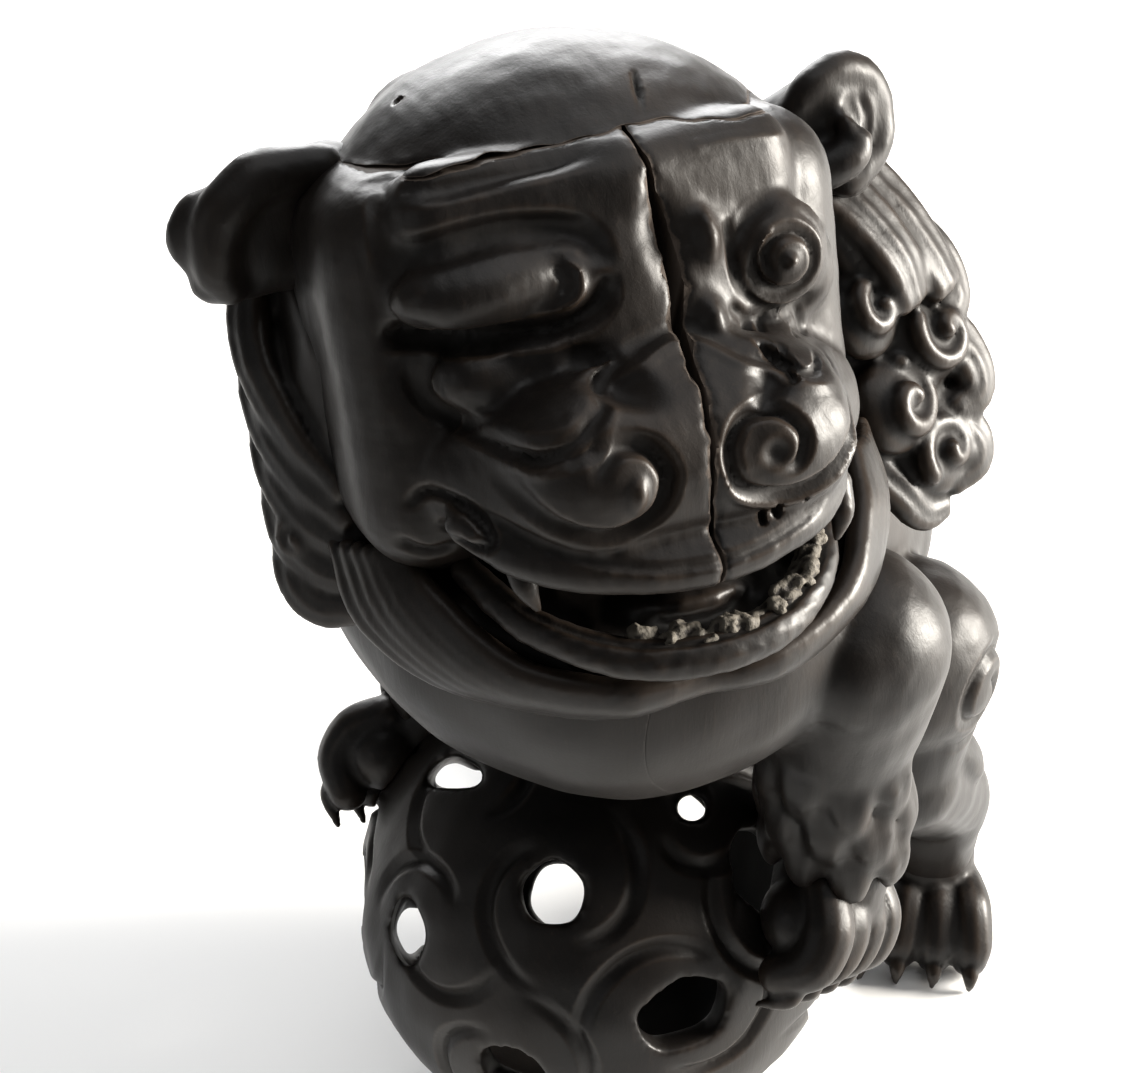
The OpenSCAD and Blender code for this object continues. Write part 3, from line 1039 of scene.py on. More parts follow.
    def build(self) -> None:
        """Carves the head and sets out its blocks."""
        whole = Chisel(self.mass())
        self.carve_forms(whole)
        whole = Chisel(subdivided(whole.write()))
        self.carve_lines(whole)
        mesh = whole.write()
        seam, crack = self.seam(), self.crack()
        nape = Joint(flat_cut(1, NAPE_Y), 1, closed_gap, chip=0)
        bite = Joint(flat_cut(2, BITE_Z), 2, closed_gap, chip=0)
        blocks = (
            ("crown_block", ((seam, 1),)),
            ("face_left_block", ((seam, -1), (crack, 1), (nape, -1), (bite, 1))),
            ("face_right_block", ((seam, -1), (crack, -1), (nape, -1), (bite, 1))),
            ("occiput_block", ((seam, -1), (nape, 1))),
        )
        for number, (name, cuts) in enumerate(blocks):
            block, worn = split(mesh, cuts, number)
            finish_piece(f"carved_{name}", block, Frame.HEAD, self.lacquer, [name], worn)
        bpy.data.meshes.remove(mesh)


@dataclass
class Jaw:
    """The lower jaw with its rolled lip, its crumbling teeth and the fangs above it."""

    lacquer: bpy.types.Material
    worn: bpy.types.Material
    tooth_grid: float = 0.55
    fang_grid: float = 0.6
    lip: tuple[Point, ...] = ((-35, -22, -32), (-29, -38, -38), (-16, -49, -43.5), (0, -53, -45),
                              (15, -49, -44), (27, -38, -39.5), (33, -22, -33))

    def build(self) -> None:
        """Builds the jaw, the teeth and the fangs."""
        clay = Clay()
        clay.hull([((x * 15, -36, -46.5), 7.5) for x in SIDES] + [((x * 28, -10, -42), 11) for x in SIDES])
        clay.rope(curve_through(self.lip, 40), (3.2, 3.6, 4.1, 4.0, 3.5, 3.0))
        clay.ball((0, -30, -41), (14, 17, 4.5), (-8, 0, 0))
        chisel = Chisel(subdivided(clay.fuse(COARSE_GRID, 3)))
        groove = curve_through([(x * 0.97, y, z - 5.2) for x, y, z in self.lip], 40)
        chisel.stroke(groove, 1.8, 1.0)
        chisel.stroke(curve_through([(x, y - 1.5, z + 3.2) for x, y, z in self.lip], 40), 1.1, 0.7)
        chisel.rough(7, 0.12, 5)
        chisel.rough(2.5, 0.08, 15)
        finish_piece("carved_jaw_block", chisel.write(), Frame.HEAD, self.lacquer, ["jaw_block"])
        self.build_teeth()
        self.build_fangs()

    def build_teeth(self) -> None:
        """Builds the worn row of teeth as crumbly lumps on the lip."""
        rng = np.random.default_rng(SEED + 21)
        row = curve_through([(-12, -49.5, -41), (0, -52.3, -41.8), (14, -48.6, -40.8), (25, -38.5, -36.4),
                             (29.5, -30, -33)],
                            34)
        clay = Clay()
        for point in row:
            size = rng.uniform(1.3, 2.7, 3)
            clay.ball(point + rng.uniform(-1.4, 1.4, 3) * (1, 1, 0.6), tuple(size),
                      tuple(rng.uniform(-60, 60, 3)), detail=2)
        clay.rope(row - (0, -0.8, 1.6), (1.6, 2.2, 2.6, 2.2))
        chisel = Chisel(clay.fuse(self.tooth_grid, 1))
        chisel.rough(2.4, 0.5, 6)
        chisel.rough(1.3, 0.2, 16)
        finish_piece("carved_lower_teeth", chisel.write(), Frame.HEAD, self.worn, ["lower_teeth"])

    def build_fangs(self) -> None:
        """Builds the pair of upper fangs."""
        clay = Clay()
        for x in SIDES:
            path = [(x * 29.5, -41, -24), (x * 29.5, -43, -29), (x * 28, -43.5, -33.5)]
            clay.rope(curve_through(path), (3.2, 2.4, 0.8))
        finish_piece("carved_fangs", clay.fuse(self.fang_grid, 1), Frame.HEAD, self.lacquer, ["fangs"])


@dataclass
class Ears:
    """The standing left ear and the drooping right ear."""

    lacquer: bpy.types.Material

    def build(self) -> None:
        """Builds both ears."""
        self.build_left()
        self.build_right()

    def build_left(self) -> None:
        """Builds the standing ear, a cupped leaf with a rolled rim."""
        clay = Clay()
        clay.hull([((46, 13, 27), 8), ((55, 9, 34), 6.5), ((61, 11, 32), 6.5), ((59, 12, 20), 7)])
        rim = [(46, 8, 31), (50, 6, 36.5), (57, 7, 39.5), (63, 9, 37), (66, 10, 30), (64.5, 9, 23),
               (58, 7, 18)]
        clay.rope(curve_through(rim), (3.0, 3.6, 4.0, 4.2, 4.0, 3.6))
        clay.rope(curve_through([(46, 4, 22), (52, 1, 22.5), (57, 0.5, 25.5), (56.5, 1, 30)]),
                  (4.4, 4.2, 2.8))
        chisel = Chisel(subdivided(clay.fuse(MIDDLE_GRID, 2)))
        chisel.mound((58, 3, 31), (4.5, 8, 5), -2.0)
        chisel.stroke(curve_through([(60, 4, 36), (62, 5, 30), (61, 4, 24)]), 1.5, 0.8)
        chisel.rough(9, 0.15, 18)
        finish_piece("carved_ear_left", chisel.write(), Frame.HEAD, self.lacquer, ["ear_left"])

    def build_right(self) -> None:
        """Builds the drooping ear, folded down with a turned-out tip."""
        clay = Clay()
        clay.hull([((-42, 12, 36), 6.5), ((-56, 9, 36.5), 6.0), ((-65, 8, 31), 6.0), ((-66, 9, 22), 5),
                   ((-48, 14, 24), 8)])
        clay.rope(curve_through([(-44, 6, 39), (-56, 4, 39), (-64, 4, 33), (-66, 5, 25), (-64, 6, 20)]),
                  (4.0, 5.0, 5.2, 4.6, 3.4))
        clay.rope(curve_through([(-60, 8, 35), (-67, 9, 34), (-70, 9, 29), (-68, 9, 24)]),
                  (3.4, 4.0, 3.8, 2.8))
        chisel = Chisel(subdivided(clay.fuse(MIDDLE_GRID, 2)))
        chisel.stroke(curve_through([(-48, 2, 33), (-56, 0, 32), (-60, 0, 27), (-60, 1, 20)]), 2.4, 1.6)
        chisel.stroke(curve_through([(-62, 4, 37), (-66, 4, 32), (-68, 5, 24)]), 1.8, 1.2)
        chisel.rough(9, 0.2, 19)
        finish_piece("carved_ear_right", chisel.write(), Frame.HEAD, self.lacquer, ["ear_right"])


@dataclass
class Mane:
    """Locks and snail curls round the head, and the beard under the jaw."""

    lacquer: bpy.types.Material
    nape_grid: float = 0.9

    def build(self) -> None:
        """Builds every block of the mane."""
        self.build_left()
        self.build_right()
        self.build_nape()
        self.build_beard()

    def build_left(self) -> None:
        """Builds the flared locks on the lion's left: straight above, curled below."""
        clay = Clay()
        clay.hull([((44, 26, 16), 14), ((66, 24, 2), 10), ((72, 20, -24), 11), ((64, 18, -44), 8),
                   ((48, 30, -32), 12)])
        for i in range(4):
            path = [(52, 36, 22 - 12 * i), (64, 33, 10 - 12 * i), (75, 26, -4 - 11 * i),
                    (82, 18, -14 - 8 * i)]
            clay.lock(path, (0.5, 0.85, 0), 12, strands=3, tip=0.45)
        for i in range(4):
            root = (51 + 4 * i, 11 + 5 * i, 25 - i)
            clay.lock([root, (57 + 5 * i, 11 + 4 * i, 8 - i), (62 + 5.5 * i, 9 + 4 * i, -6 - 2 * i)],
                      (0.5, -0.9, 0.3), 8,
                      strands=2, tip=0.7)
        flames = (
            ((72, 20, 8), (82, 18, -2), (86, 16, -12), (81, 13, -17)),
            ((74, 18, -10), (86, 15, -22), (89, 13, -32), (83, 11, -35)),
            ((70, 14, -28), (83, 12, -38), (87, 11, -46), (80, 9, -50)),
            ((56, 10, -34), (66, 7, -46), (72, 8, -54), (78, 10, -55)),
        )
        for path in flames:
            clay.lock([(x - 2, y, z) for x, y, z in path], (0.4, -0.9, 0.2), 11, strands=3, tip=0.45)
        for path in (((58, 18, 24), (69, 16, 12), (76, 14, 1), (80, 13, -8)),
                     ((52, 13, 22), (62, 10, 10), (68, 8, 0), (70, 8, -8))):
            clay.lock(path, (0.5, -0.9, 0.3), 12, strands=3, tip=0.7)
        curls = (((61, 7, -9), 10.0), ((66, 6, -29), 11.0), ((78, 12, -18), 10.0), ((76, 9, -42), 10.0))
        for number, (centre, radius) in enumerate(curls):
            clay.curl(centre, (0.45, -0.8, 0.3), radius, turns=1.1, start=70 * number, thick=0.23,
                      mirror=number % 2 == 1)
        chisel = Chisel(clay.fuse(FINE_GRID, 2))
        chisel.rough(8, 0.12, 8)
        finish_piece("carved_mane_left", chisel.write(), Frame.HEAD, self.lacquer, ["mane_left"])

    def build_right(self) -> None:
        """Builds the hanging locks behind the lion's right cheek."""
        clay = Clay()
        clay.hull([((-44, 20, 14), 11), ((-49, 14, -6), 9), ((-50, 12, -28), 8), ((-46, 28, -28), 10),
                   ((-46, 4, -36), 7), ((-47, 4, 8), 7)])
        for i in range(4):
            path = [(-50, 38, 22 - 12 * i), (-57, 30 - i, 8 - 12 * i), (-59, 20, -6 - 11 * i),
                    (-56, 12, -16 - 9 * i)]
            clay.lock(path, (-0.95, 0.25, 0), 11, strands=3, tip=0.45)
        for i in range(5):
            path = [(-58, 24 - 2 * i, 20 - 11 * i), (-61.5, 15 - i, 6 - 11 * i), (-58.5, 6, -8 - 9 * i),
                    (-52, -1, -20 - 6 * i)]
            clay.lock(path, (-0.75, -0.65, 0), 9.5, strands=3, tip=0.45)
        clay.curl((-60, 8, -30), (-0.75, -0.7, 0), 6.5)
        chisel = Chisel(clay.fuse(FINE_GRID, 2))
        chisel.rough(9, 0.15, 9)
        finish_piece("carved_mane_right", chisel.write(), Frame.HEAD, self.lacquer, ["mane_right"])

    def build_nape(self) -> None:
        """Builds the rows of snail curls at the back of the head."""
        clay = Clay()
        centre, half = np.array([0.0, 30.0, -4.0]), np.array([46.0, 34.0, 42.0])
        clay.ball(centre, half, detail=4)
        for row, lift in enumerate((-42, -16, 10, 36)):
            count = 7 - row % 2
            for column in range(count):
                turn = math.radians((column - (count - 1) / 2) * (27 if abs(lift) < 20 else 30))
                rise = math.radians(lift)
                spot = np.array([math.sin(turn) * math.cos(rise), math.cos(turn) * math.cos(rise),
                                 math.sin(rise)])
                out = spot / half
                clay.curl(centre + spot * (half + 0.5), out, 9.6 - 0.5 * row, mirror=column % 2 == 0,
                          start=90 * row)
        for x in (-30, -18, -6, 6, 18, 30):
            clay.lock([(x, 52 - x * x * 0.012, -34), (x * 1.08, 55 - x * x * 0.014, -48),
                       (x * 1.1, 48, -60)],
                      (x * 0.02, 1, 0), 12)
        chisel = Chisel(clay.fuse(self.nape_grid, 1))
        finish_piece("carved_nape_mane", chisel.write(), Frame.HEAD, self.lacquer, ["nape_mane"])

    def build_beard(self) -> None:
        """Builds the swept strands of the beard."""
        clay = Clay()
        for side in SIDES:
            clay.hull([((side * 41, 4, -38), 12), ((side * 34, -10, -48), 11), ((side * 14, -28, -52), 9),
                       ((0, -30, -53), 9)])
            outer = np.array([(54, 1, -30), (52, -9, -42), (41, -22, -52), (18, -37, -58),
                              (0, -39, -58)]) * (side, 1, 1)
            inner = np.array([(45, -15, -29), (41, -26, -37), (31, -38, -47), (14, -46, -51.5),
                              (0, -46, -52)]) * (side, 1, 1)
            for t in np.linspace(0, 1, 7):
                path = outer + (inner - outer) * t - (0, 2.5 * math.sin(math.pi * t), 0)
                clay.rope(curve_through(path, 24), (1.9, 2.7, 2.7, 2.2, 1.2))
            clay.hull([((side * 44, -2, -37), 6), ((side * 36, -19, -43), 6), ((side * 20, -33, -51), 6)])
        chisel = Chisel(clay.fuse(FINE_GRID, 1))
        chisel.rough(8, 0.12, 12)
        finish_piece("carved_beard_block", chisel.write(), Frame.HEAD, self.lacquer, ["beard_block"])


# ---------------------------------------------------------------- ball


def ball_point(turn: float, height: float, radius: float = BALL_RADIUS) -> Array:
    """Returns the point of the ball at a turn from straight ahead and a height angle, in degrees."""
    a, e = math.radians(turn), math.radians(height)
    return BALL_CENTRE + radius * np.array([math.sin(a) * math.cos(e), -math.cos(a) * math.cos(e),
                                            math.sin(e)])


@dataclass(frozen=True)
class Opening:
    """One opening in the ball.

    Attributes:
        turn: Turn from straight ahead in degrees.
        height: Height angle in degrees.
        wide: Half width in millimetres.
        tall: Half height in millimetres.
        sides: Corners of its outline.
        spin: Turn of the outline in degrees.
        through: Where the opening on the far side lies, as (turn, height), if the two line up.
    """

    turn: float
    height: float
    wide: float
    tall: float
    sides: int = 6
    spin: float = 0.0
    through: tuple[float, float] | None = None


@dataclass
class Ball:
    """The hollow openwork ball, with strands that flow between its openings."""

    lacquer: bpy.types.Material
    wall: float = 8.0
    foot: float = 1.2
    grid: float = 1.15
    openings: tuple[Opening, ...] = (
        Opening(-34, 58, 7.8, 4.6, 3, 90, (-103, -13)), Opening(-10, 30, 3.9, 8.4, 4, 90, (-69, -36)),
        Opening(25, 51, 6.8, 6.8, 5, 90, (-124, -51)), Opening(82, 63, 3.6, 3.0, 6, 0, (-167, -27)),
        Opening(60, 22, 10.5, 8.5, 5, 20), Opening(20, 4, 8, 9, 5, 10), Opening(106, 26, 9, 11, 5, 0),
        Opening(156, 20, 12, 14, 5, 30), Opening(128, -22, 12, 11, 6, 0), Opening(-145, 16, 12, 13, 5, 60),
        Opening(-46, 4, 9, 13, 5, 40), Opening(84, -28, 12, 13, 5, 80), Opening(34, -40, 13, 12, 6, 0),
        Opening(-18, -34, 11, 12, 5, 20), Opening(-103, -13, 10, 9, 5, 0), Opening(-69, -36, 9, 9, 5, 50),
        Opening(-124, -52, 9, 9, 5, 0), Opening(-167, -27, 11, 11, 5, 0), Opening(178, 56, 10, 9, 5, 0),
        Opening(-98, 42, 9, 9, 5, 0), Opening(98, 41, 9, 10.5, 5, 20),
    )

    def add_cutter(self, clay: Clay, hole: Opening) -> None:
        """Adds the solid that cuts one opening."""
        near = ball_point(hole.turn, hole.height, BALL_RADIUS * 1.1)
        far = ball_point(*hole.through, BALL_RADIUS * 1.1) if hole.through else BALL_CENTRE
        if not hole.through:
            far = near + (far - near) * 0.6
        along = Vector(near - far)
        turn = along.to_track_quat("Z", "Y").to_matrix().to_4x4()
        place = Matrix.Translation(Vector((near + far) / 2)) @ turn
        made = bmesh.ops.create_cone(clay.bm, cap_ends=True, segments=30, radius1=0.85, radius2=1.15,
                                     depth=along.length)
        wedge = 2 * math.pi / hole.sides
        for vert in made["verts"]:
            angle = (math.atan2(vert.co.y, vert.co.x) - math.radians(hole.spin)) % wedge - wedge / 2
            grow = 0.35 + 0.65 * math.cos(wedge / 2) / math.cos(angle)
            vert.co = place @ Vector((vert.co.x * hole.wide * grow, vert.co.y * hole.tall * grow, vert.co.z))

    def build(self) -> None:
        """Builds the ball."""
        shell = Clay()
        shell.ball(BALL_CENTRE, BALL_RADIUS, detail=6)
        body = bpy.data.meshes.new("shell")
        shell.bm.to_mesh(body)
        cutter = Clay()
        cutter.ball(BALL_CENTRE, BALL_RADIUS - self.wall, detail=5)
        for hole in self.openings:
            self.add_cutter(cutter, hole)
        hollow = cut_away(body, cutter.fuse(COARSE_GRID, 2))
        fused = relaxed(through_modifier(hollow, "REMESH", mode="VOXEL", voxel_size=self.grid,
                                         adaptivity=0.0), 4)
        chisel = Chisel(subdivided(fused))
        self.carve(chisel)
        low = chisel.co[:, 2]
        chisel.co[:, 2] = np.where(low < self.foot, 0.0, low)
        finish_piece("carved_pierced_ball", chisel.write(), Frame.BODY, self.lacquer, ["pierced_ball"])

    def carve(self, chisel: Chisel) -> None:
        """Cuts flowing grooves round the openings."""
        away = chisel.co - BALL_CENTRE
        outside = smooth_step((np.linalg.norm(away, axis=1) - BALL_RADIUS + 4) / 3)
        for number, hole in enumerate(self.openings):
            middle = ball_point(hole.turn, hole.height)
            out = Vector(middle - BALL_CENTRE)
            turn = np.array(out.to_track_quat("Z", "Y").to_matrix())
            size = math.sqrt(hole.wide * hole.tall)
            for start in (60 * number, 60 * number + 170):
                ring = spiral((0, 0), size * 1.3 + 1.5, size * 1.5 + 13, 0.42, start, 30)
                path = np.hstack([ring, np.zeros((len(ring), 1))]) @ turn.T + middle - BALL_CENTRE
                path = BALL_CENTRE + path * BALL_RADIUS / np.linalg.norm(path, axis=1)[:, None]
                chisel.stroke(path, 2.6, 1.8, reach=outside, taper=0.35)
                inner = BALL_CENTRE + (path - BALL_CENTRE) @ np.array(Matrix.Rotation(0.07, 3, out)).T
                chisel.stroke(inner, 1.5, 0.8, reach=outside, taper=0.35)
        chisel.rough(12, 0.25, 31)


# ---------------------------------------------------------------- body


@dataclass
class Trunk:
    """Chest, back, shoulders and haunches, carved whole and split at their glue joints."""

    lacquer: bpy.types.Material
    grid: float = 1.2
    chest_half: float = 44.0
    hip_half: float = 28.0
    joint_y: float = 38.0
    armpit_z: float = 134.0

    def mass(self) -> bpy.types.Mesh:
        """Returns the whole body without head, paws and tail."""
        clay = Clay()
        clay.ball((1, 0, 170), (61, 52.5, 46), detail=5)
        clay.ball((2, 8, 203), (42, 38, 32))
        clay.bar((2, 22, 165), (0, 78, 122), 42, 34)
        clay.bar((57, 14, 166), (54, 16, 132), 19, 16).bar((54, 16, 132), (56, 21, 102), 15, 12)
        clay.ball((61, 9, 167), (12, 14, 15))
        clay.bar((-48, 8, 158), (-46, 10, 130), 19, 14).bar((-46, 10, 130), (-44, 3, 98), 14, 12)
        for x in SIDES:
            clay.bar((x * 44, 62, 120), (x * 49, 56, 86), 21, 14).bar((x * 49, 56, 86), (x * 47, 86, 50),
                                                                      15.5, 13.5)
            clay.bar((x * 47, 86, 50), (x * 45, 91, 18), 13.5, 12)
            clay.ball((x * 46, 60, 118), (20, 22, 24))
        self.add_tufts(clay, (54, 15, 144), (56, 19, 100), 14, (-75, -35, 5, 45, 85))
        self.add_tufts(clay, (-47, 8, 140), (-44, 1, 96), 13, (-85, -45, -5, 35))
        for x in SIDES:
            self.add_tufts(clay, (x * 50, 58, 96), (x * 47, 86, 44), 12, (x * 130, x * 170), rows=2)
        return clay.fuse(self.grid, 2)

    @staticmethod
    def add_tufts(clay: Clay, top: Point, low: Point, radius: float, turns: Sequence[float],
                  rows: int = 3) -> None:
        """Adds rows of flame tufts round a leg.

        Args:
            clay: The lumps so far.
            top: Where the tufts start on the leg's axis.
            low: Where they end.
            radius: Radius of the leg.
            turns: Turns round the leg at which tufts grow, in degrees from straight ahead.
            rows: Rows along the leg.
        """
        top, low = np.asarray(top, float), np.asarray(low, float)
        for row in range(rows):
            for number, turn in enumerate(turns):
                angle = math.radians(turn + 20 * (row % 2))
                out = np.array([math.sin(angle), -math.cos(angle), 0.0])
                begin = (row + 0.25 * (number % 2)) / (rows + 0.6)
                spots = [top + (low - top) * min(begin + step, 1.04) for step in (0.0, 0.17, 0.36, 0.5)]
                sides = (radius * 0.8, radius * 1.02, radius * 1.12, radius * 1.06)
                clay.lock([p + out * r for p, r in zip(spots, sides)], out, 9, strands=2, tip=0.3)

    def carve(self, chisel: Chisel) -> None:
        """Cuts the curls of the shoulders and haunches, and the spine."""
        for x in SIDES:
            side = (x, 0, 0)
            chisel.stroke(spiral((x * 62, 118), 15, 3, 1.7 * x, 200), 2.4, 1.5, side, taper=0.15)
            for i in range(4):
                root = (x * (74 + 4 * i), 96 + 8 * i)
                path = curve_through([root, (root[0] + x * 7, root[1] - 8), (root[0] + x * 8, root[1] - 20)])
                chisel.stroke(path, 2.2, 1.2, side)
            for i in range(3):
                path = curve_through([(x * (26 + 5 * i), 150), (x * (33 + 3 * i), 132),
                                      (x * (34 + 2 * i), 112)])
                chisel.stroke(path, 2.0, 1.1, side)
        chisel.stroke(curve_through([(0, 50, 188), (0, 80, 165), (0, 104, 140)]), 5, 1.4, sharp=False)
        chisel.rough(14, 0.22, 40)
        chisel.rough(40, 0.5, 41)

    def build(self) -> None:
        """Carves the body and sets out its blocks."""
        chisel = Chisel(subdivided(self.mass()))
        self.carve(chisel)
        mesh = chisel.write()

        def shoulder(x: int) -> Joint:
            """Returns the joint between the chest and one shoulder; it leans in below the armpit."""

            def side(p: Array) -> Array:
                """Returns how far each point lies outside the joint."""
                return x * p[:, 0] - self.chest_half + 0.4 * np.maximum(0, self.armpit_z - p[:, 2]) * (x < 0)
            return Joint(lambda p: x * side(p), 0, closed_gap, chip=0)

        def hip(x: int) -> Joint:
            """Returns the joint between the back and one haunch."""
            return Joint(flat_cut(0, x * self.hip_half), 0, closed_gap, chip=0)

        waist = Joint(flat_cut(1, self.joint_y), 1, closed_gap, chip=0)
        blocks = (
            ("chest_block", ((waist, -1), (shoulder(1), -1), (shoulder(-1), 1))),
            ("foreleg_left", ((waist, -1), (shoulder(1), 1))),
            ("foreleg_right", ((waist, -1), (shoulder(-1), -1))),
            ("back_block", ((waist, 1), (hip(1), -1), (hip(-1), 1))),
            ("haunch_left", ((waist, 1), (hip(1), 1))),
            ("haunch_right", ((waist, 1), (hip(-1), -1))),
        )
        for number, (name, cuts) in enumerate(blocks):
            block, worn = split(mesh, cuts, 10 + number)
            finish_piece(f"carved_{name}", block, Frame.BODY, self.lacquer, [name], worn)
        bpy.data.meshes.remove(mesh)


@dataclass
class Paws:
    """The four paws: the front pair grips the ball, the hind pair stands on the floor."""

    lacquer: bpy.types.Material
    left_wrist: Point = (56, 21, 100)
    right_wrist: Point = (-44, 0, 96)
    swing: float = math.radians(36)

    def fore_place(self, wrist: Point) -> Callable[[Point], Array]:
        """Returns the function that puts a point of the hanging paw in the body's frame."""
        side = 1 if wrist[0] > 0 else -1
        turn = np.array(Matrix.Rotation(-self.swing, 3, "X"))
        return lambda p: turn @ np.array([side * p[0], p[1], p[2]], float) + np.asarray(wrist, float)

    def build(self) -> None:
        """Builds the four paws."""
        self.build_fore("forepaw_left", self.left_wrist)
        self.build_fore("forepaw_right", self.right_wrist)
        self.build_hind("hind_paw_left", 1)
        self.build_hind("hind_paw_right", -1)

    def build_fore(self, name: str, wrist: Point) -> None:
        """Builds one forepaw that hangs from its wrist over the ball."""
        at = self.fore_place(wrist)
        clay = Clay()
        clay.bar(at((0, 0, 4)), at((2, 0, -14)), 12.5, 13)
        clay.hull([(at((3, 9 * i, -18)), 9.5) for i in (-1, 1)])
        for i in (-1.5, -0.5, 0.5, 1.5):
            path = curve_through([at((5, 7.6 * i, -9)), at((10.5, 8.8 * i, -16)), at((11, 9.4 * i, -24)),
                                  at((5.5, 9.8 * i, -30))])
            clay.rope(path, (5.2, 6.2, 6.0, 4.8))
            claw = curve_through([at((9.5, 9.6 * i, -27)), at((10, 9.9 * i, -33.5)),
                                  at((4, 10.1 * i, -38.5))], 14)
            clay.rope(claw, (2.8, 2.3, 0.8))
        for i in (-1, 0, 1):
            clay.curl(at((9, 7.5 * i, -4 + abs(i))), at((1, 0, 0.35)) - at((0, 0, 0)), 4.6, start=120 * i)
        chisel = Chisel(clay.fuse(FINE_GRID, 1))
        away = chisel.co - BALL_CENTRE
        far = np.linalg.norm(away, axis=1)
        chisel.co = BALL_CENTRE + away * (np.maximum(far, BALL_RADIUS + 0.1) / far)[:, None]
        for i in (-1, 0, 1):
            path = curve_through([at((12, 8.6 * i, -16)), at((15, 8.8 * i, -24)), at((12, 9 * i, -33))])
            chisel.stroke(path, 1.6, 1.6)
        finish_piece(f"carved_{name}", chisel.write(), Frame.BODY, self.lacquer, [name])

    def build_hind(self, name: str, x: int) -> None:
        """Builds one hind paw that stands on the floor with its toes turned out."""
        turn = Matrix.Rotation(x * math.radians(32), 3, "Z")

        def at(side: float, ahead: float, up: float) -> Vector:
            """Returns the place that lies to one side of the ankle, ahead of it and above the floor."""
            return Vector((x * 45, 89, 0)) + turn @ Vector((side, -ahead, up))

        clay = Clay()
        clay.bar((x * 45, 91, 28), at(0, 1, 12), 12, 14.5)
        clay.hull([(at(7 * i, 7, 11), 10) for i in (-1, 1)])
        for i in (-1.5, -0.5, 0.5, 1.5):
            clay.rope(curve_through([at(7 * i, 4, 15), at(8.2 * i, 13, 16), at(9.2 * i, 20, 10),
                                     at(9.4 * i, 22, 5.5)]),
                      (6.0, 6.4, 6.0, 5.0))
            clay.rope(curve_through([at(9.4 * i, 23, 8), at(9.6 * i, 27.5, 5), at(9.7 * i, 29, 1.2)], 14),
                      (2.6, 2.2, 0.9))
        for i in (-1, 0, 1):
            clay.curl(at(8 * i, 8 - 2 * abs(i), 27), at(0.3 * i, 1, 0.3) - at(0, 0, 0), 4.4, start=100 * i)
        chisel = Chisel(clay.fuse(FINE_GRID, 1))
        chisel.co[:, 2] = np.maximum(chisel.co[:, 2], 0.0)
        finish_piece(f"carved_{name}", chisel.write(), Frame.BODY, self.lacquer, [name])


@dataclass
class Tail:
    """The upright flame tail on the rump."""

    lacquer: bpy.types.Material

    def build(self) -> None:
        """Builds the tail."""
        clay = Clay()
        clay.rope(curve_through([(0, 104, 118), (0, 104, 142), (0, 94, 168), (0, 84, 190)]), (11, 13, 12, 6))
        for x in SIDES:
            for i in range(3):
                low = (x * (6 + 3 * i), 106 - i, 116 + 8 * i)
                middle = (x * (15 + 2 * i), 108 - 3 * i, 136 + 10 * i)
                high = (x * (9 + 2 * i), 100 - 4 * i, 158 + 12 * i)
                clay.lock([low, middle, high, (x * 4, 92 - 4 * i, 170 + 12 * i)], (x * 0.3, 1, 0.2), 10)
            clay.curl((x * 11, 106, 128), (x * 0.5, 1, 0), 9, mirror=x < 0)
            clay.curl((x * 9, 100, 158), (x * 0.5, 1, 0.3), 8, mirror=x < 0)
        clay.lock([(0, 112, 118), (0, 114, 140), (0, 104, 166), (0, 86, 200)], (0, 1, 0), 12)
        chisel = Chisel(subdivided(clay.fuse(COARSE_GRID, 1)))
        finish_piece("carved_tail_block", chisel.write(), Frame.BODY, self.lacquer, ["tail_block"])


# ---------------------------------------------------------------- studio


@dataclass(frozen=True)
class Lamp:
    """One soft rectangular light.

    Attributes:
        name: Its name.
        place: Where it stands.
        size: Its two sides.
        power: Its power in watts.
        aim: Height above the floor that it points at.
        tint: Its colour.
    """

    name: str
    place: Point
    size: Point
    power: float
    aim: float = 0.0
    tint: Point = (1, 1, 1)

    def build(self) -> None:
        """Hangs the light."""
        data = bpy.data.lights.new(self.name, "AREA")
        data.shape = "RECTANGLE"
        data.size, data.size_y = self.size
        data.energy = self.power
        data.color = self.tint
        lamp = bpy.data.objects.new(self.name, data)
        lamp.location = self.place
        lamp.rotation_euler = (Vector((0, 0, self.aim)) - Vector(self.place)).to_track_quat("-Z",
                                                                                            "Y").to_euler()
        bpy.context.scene.collection.objects.link(lamp)


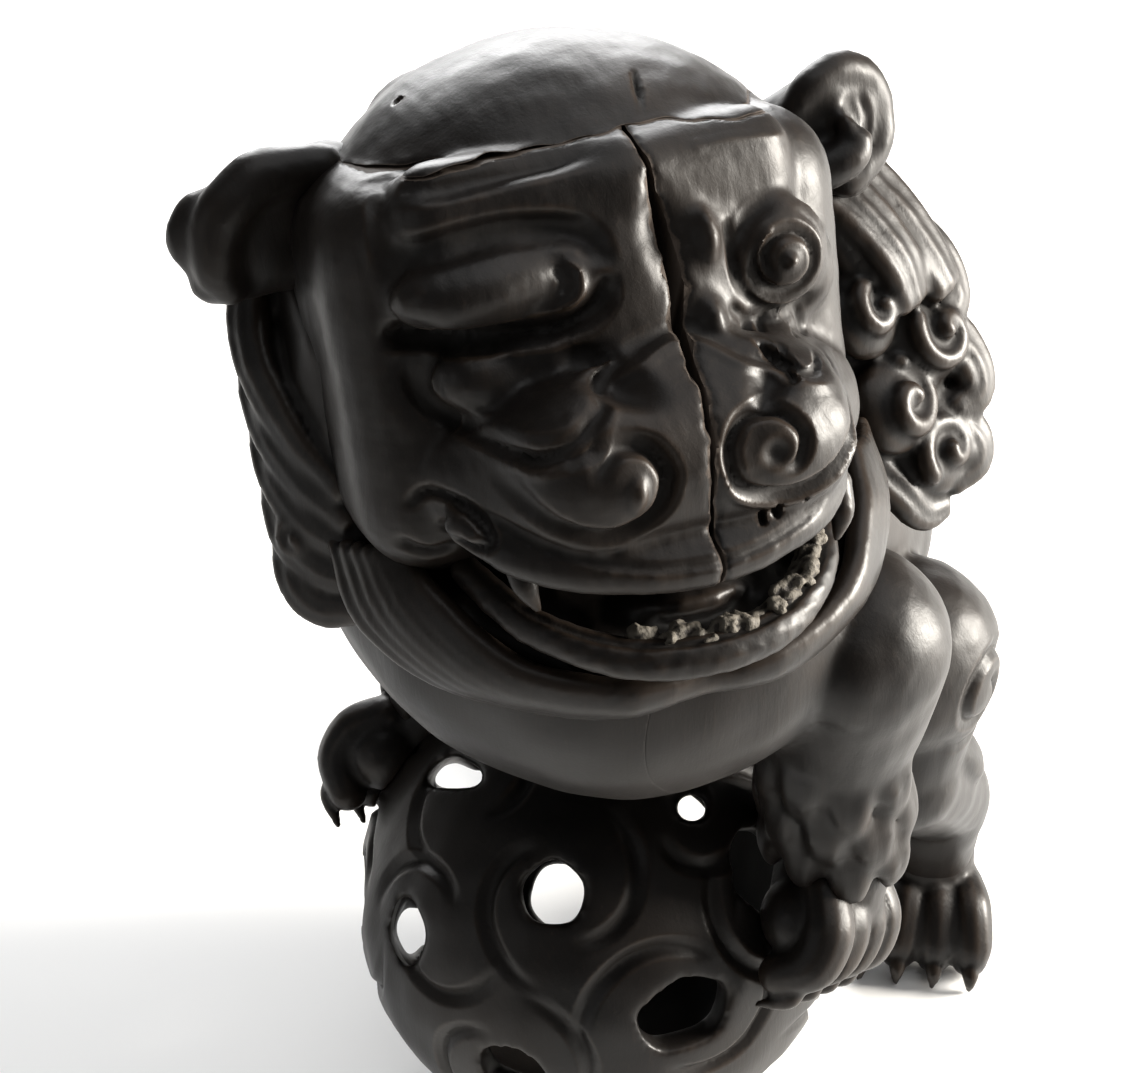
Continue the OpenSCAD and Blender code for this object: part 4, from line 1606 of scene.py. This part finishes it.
@dataclass
class Studio:
    """Pale floor, soft lights and the camera."""

    stand: Point = (0.1935, -0.2644, 0.4459)
    azimuth: float = 40.0
    elevation: float = 42.0
    lens: float = 63.2
    floor_half: float = 3.0
    daylight: float = 0.11
    lamps: tuple[Lamp, ...] = (
        Lamp("key", (1.05, 1.0, 0.45), (0.45, 0.6), 105, 0.13, (1.0, 0.95, 0.87)),
        Lamp("rim", (-0.85, 0.8, 0.5), (0.9, 0.6), 24, 0.15),
        Lamp("top", (0.1, 0.35, 1.5), (1.5, 1.5), 11),
        Lamp("fill", (-0.3, -1.1, 0.5), (0.6, 0.6), 0.6, 0.14),
    )

    def build(self) -> None:
        """Builds the floor, the lights, the world and the camera."""
        self.build_floor()
        for lamp in self.lamps:
            lamp.build()
        world = bpy.data.worlds.new("studio")
        world.use_nodes = True
        background = world.node_tree.nodes["Background"]
        background.inputs["Color"].default_value = (1, 1, 1, 1)
        background.inputs["Strength"].default_value = self.daylight
        bpy.context.scene.world = world
        bpy.context.scene.view_settings.view_transform = "Standard"
        self.build_camera()

    def build_floor(self) -> None:
        """Builds the floor."""
        bm = bmesh.new()
        bmesh.ops.create_grid(bm, x_segments=1, y_segments=1, size=self.floor_half)
        mesh = bpy.data.meshes.new("floor")
        bm.to_mesh(mesh)
        bm.free()
        mesh.materials.append(PaleFloor().material("pale_floor"))
        floor = bpy.data.objects.new("floor", mesh)
        bpy.context.scene.collection.objects.link(floor)

    def build_camera(self) -> None:
        """Builds the camera."""
        data = bpy.data.cameras.new("camera")
        data.lens = self.lens
        camera = bpy.data.objects.new("camera", data)
        camera.location = self.stand
        a, e = math.radians(self.azimuth), math.radians(self.elevation)
        back = Vector((math.sin(a) * math.cos(e), -math.cos(a) * math.cos(e), math.sin(e)))
        camera.rotation_euler = (-back).to_track_quat("-Z", "Y").to_euler()
        bpy.context.scene.collection.objects.link(camera)
        bpy.context.scene.camera = camera


def dress_dowels(frame: dict) -> None:
    """Gives the hidden dowels their finish."""
    finish = BareWood().material("bare_dowel")
    for node in ("body_dowels", "head_dowels"):
        dowels = frame["nodes"][node]
        dowels.data.materials.clear()
        dowels.data.materials.append(finish)


def main() -> None:
    """Builds the statue and its studio."""
    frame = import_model()
    lacquer = Lacquer().material("satin_lacquer")
    head_lacquer = Lacquer(sheen=0.32).material("cracked_lacquer")
    worn = WornWood().material("worn_wood")
    Head(head_lacquer).build()
    Jaw(lacquer, worn).build()
    Ears(lacquer).build()
    Mane(lacquer).build()
    Trunk(lacquer).build()
    Ball(lacquer).build()
    Paws(lacquer).build()
    Tail(lacquer).build()
    dress_dowels(frame)
    Studio().build()


if __name__ == "__main__":
    main()
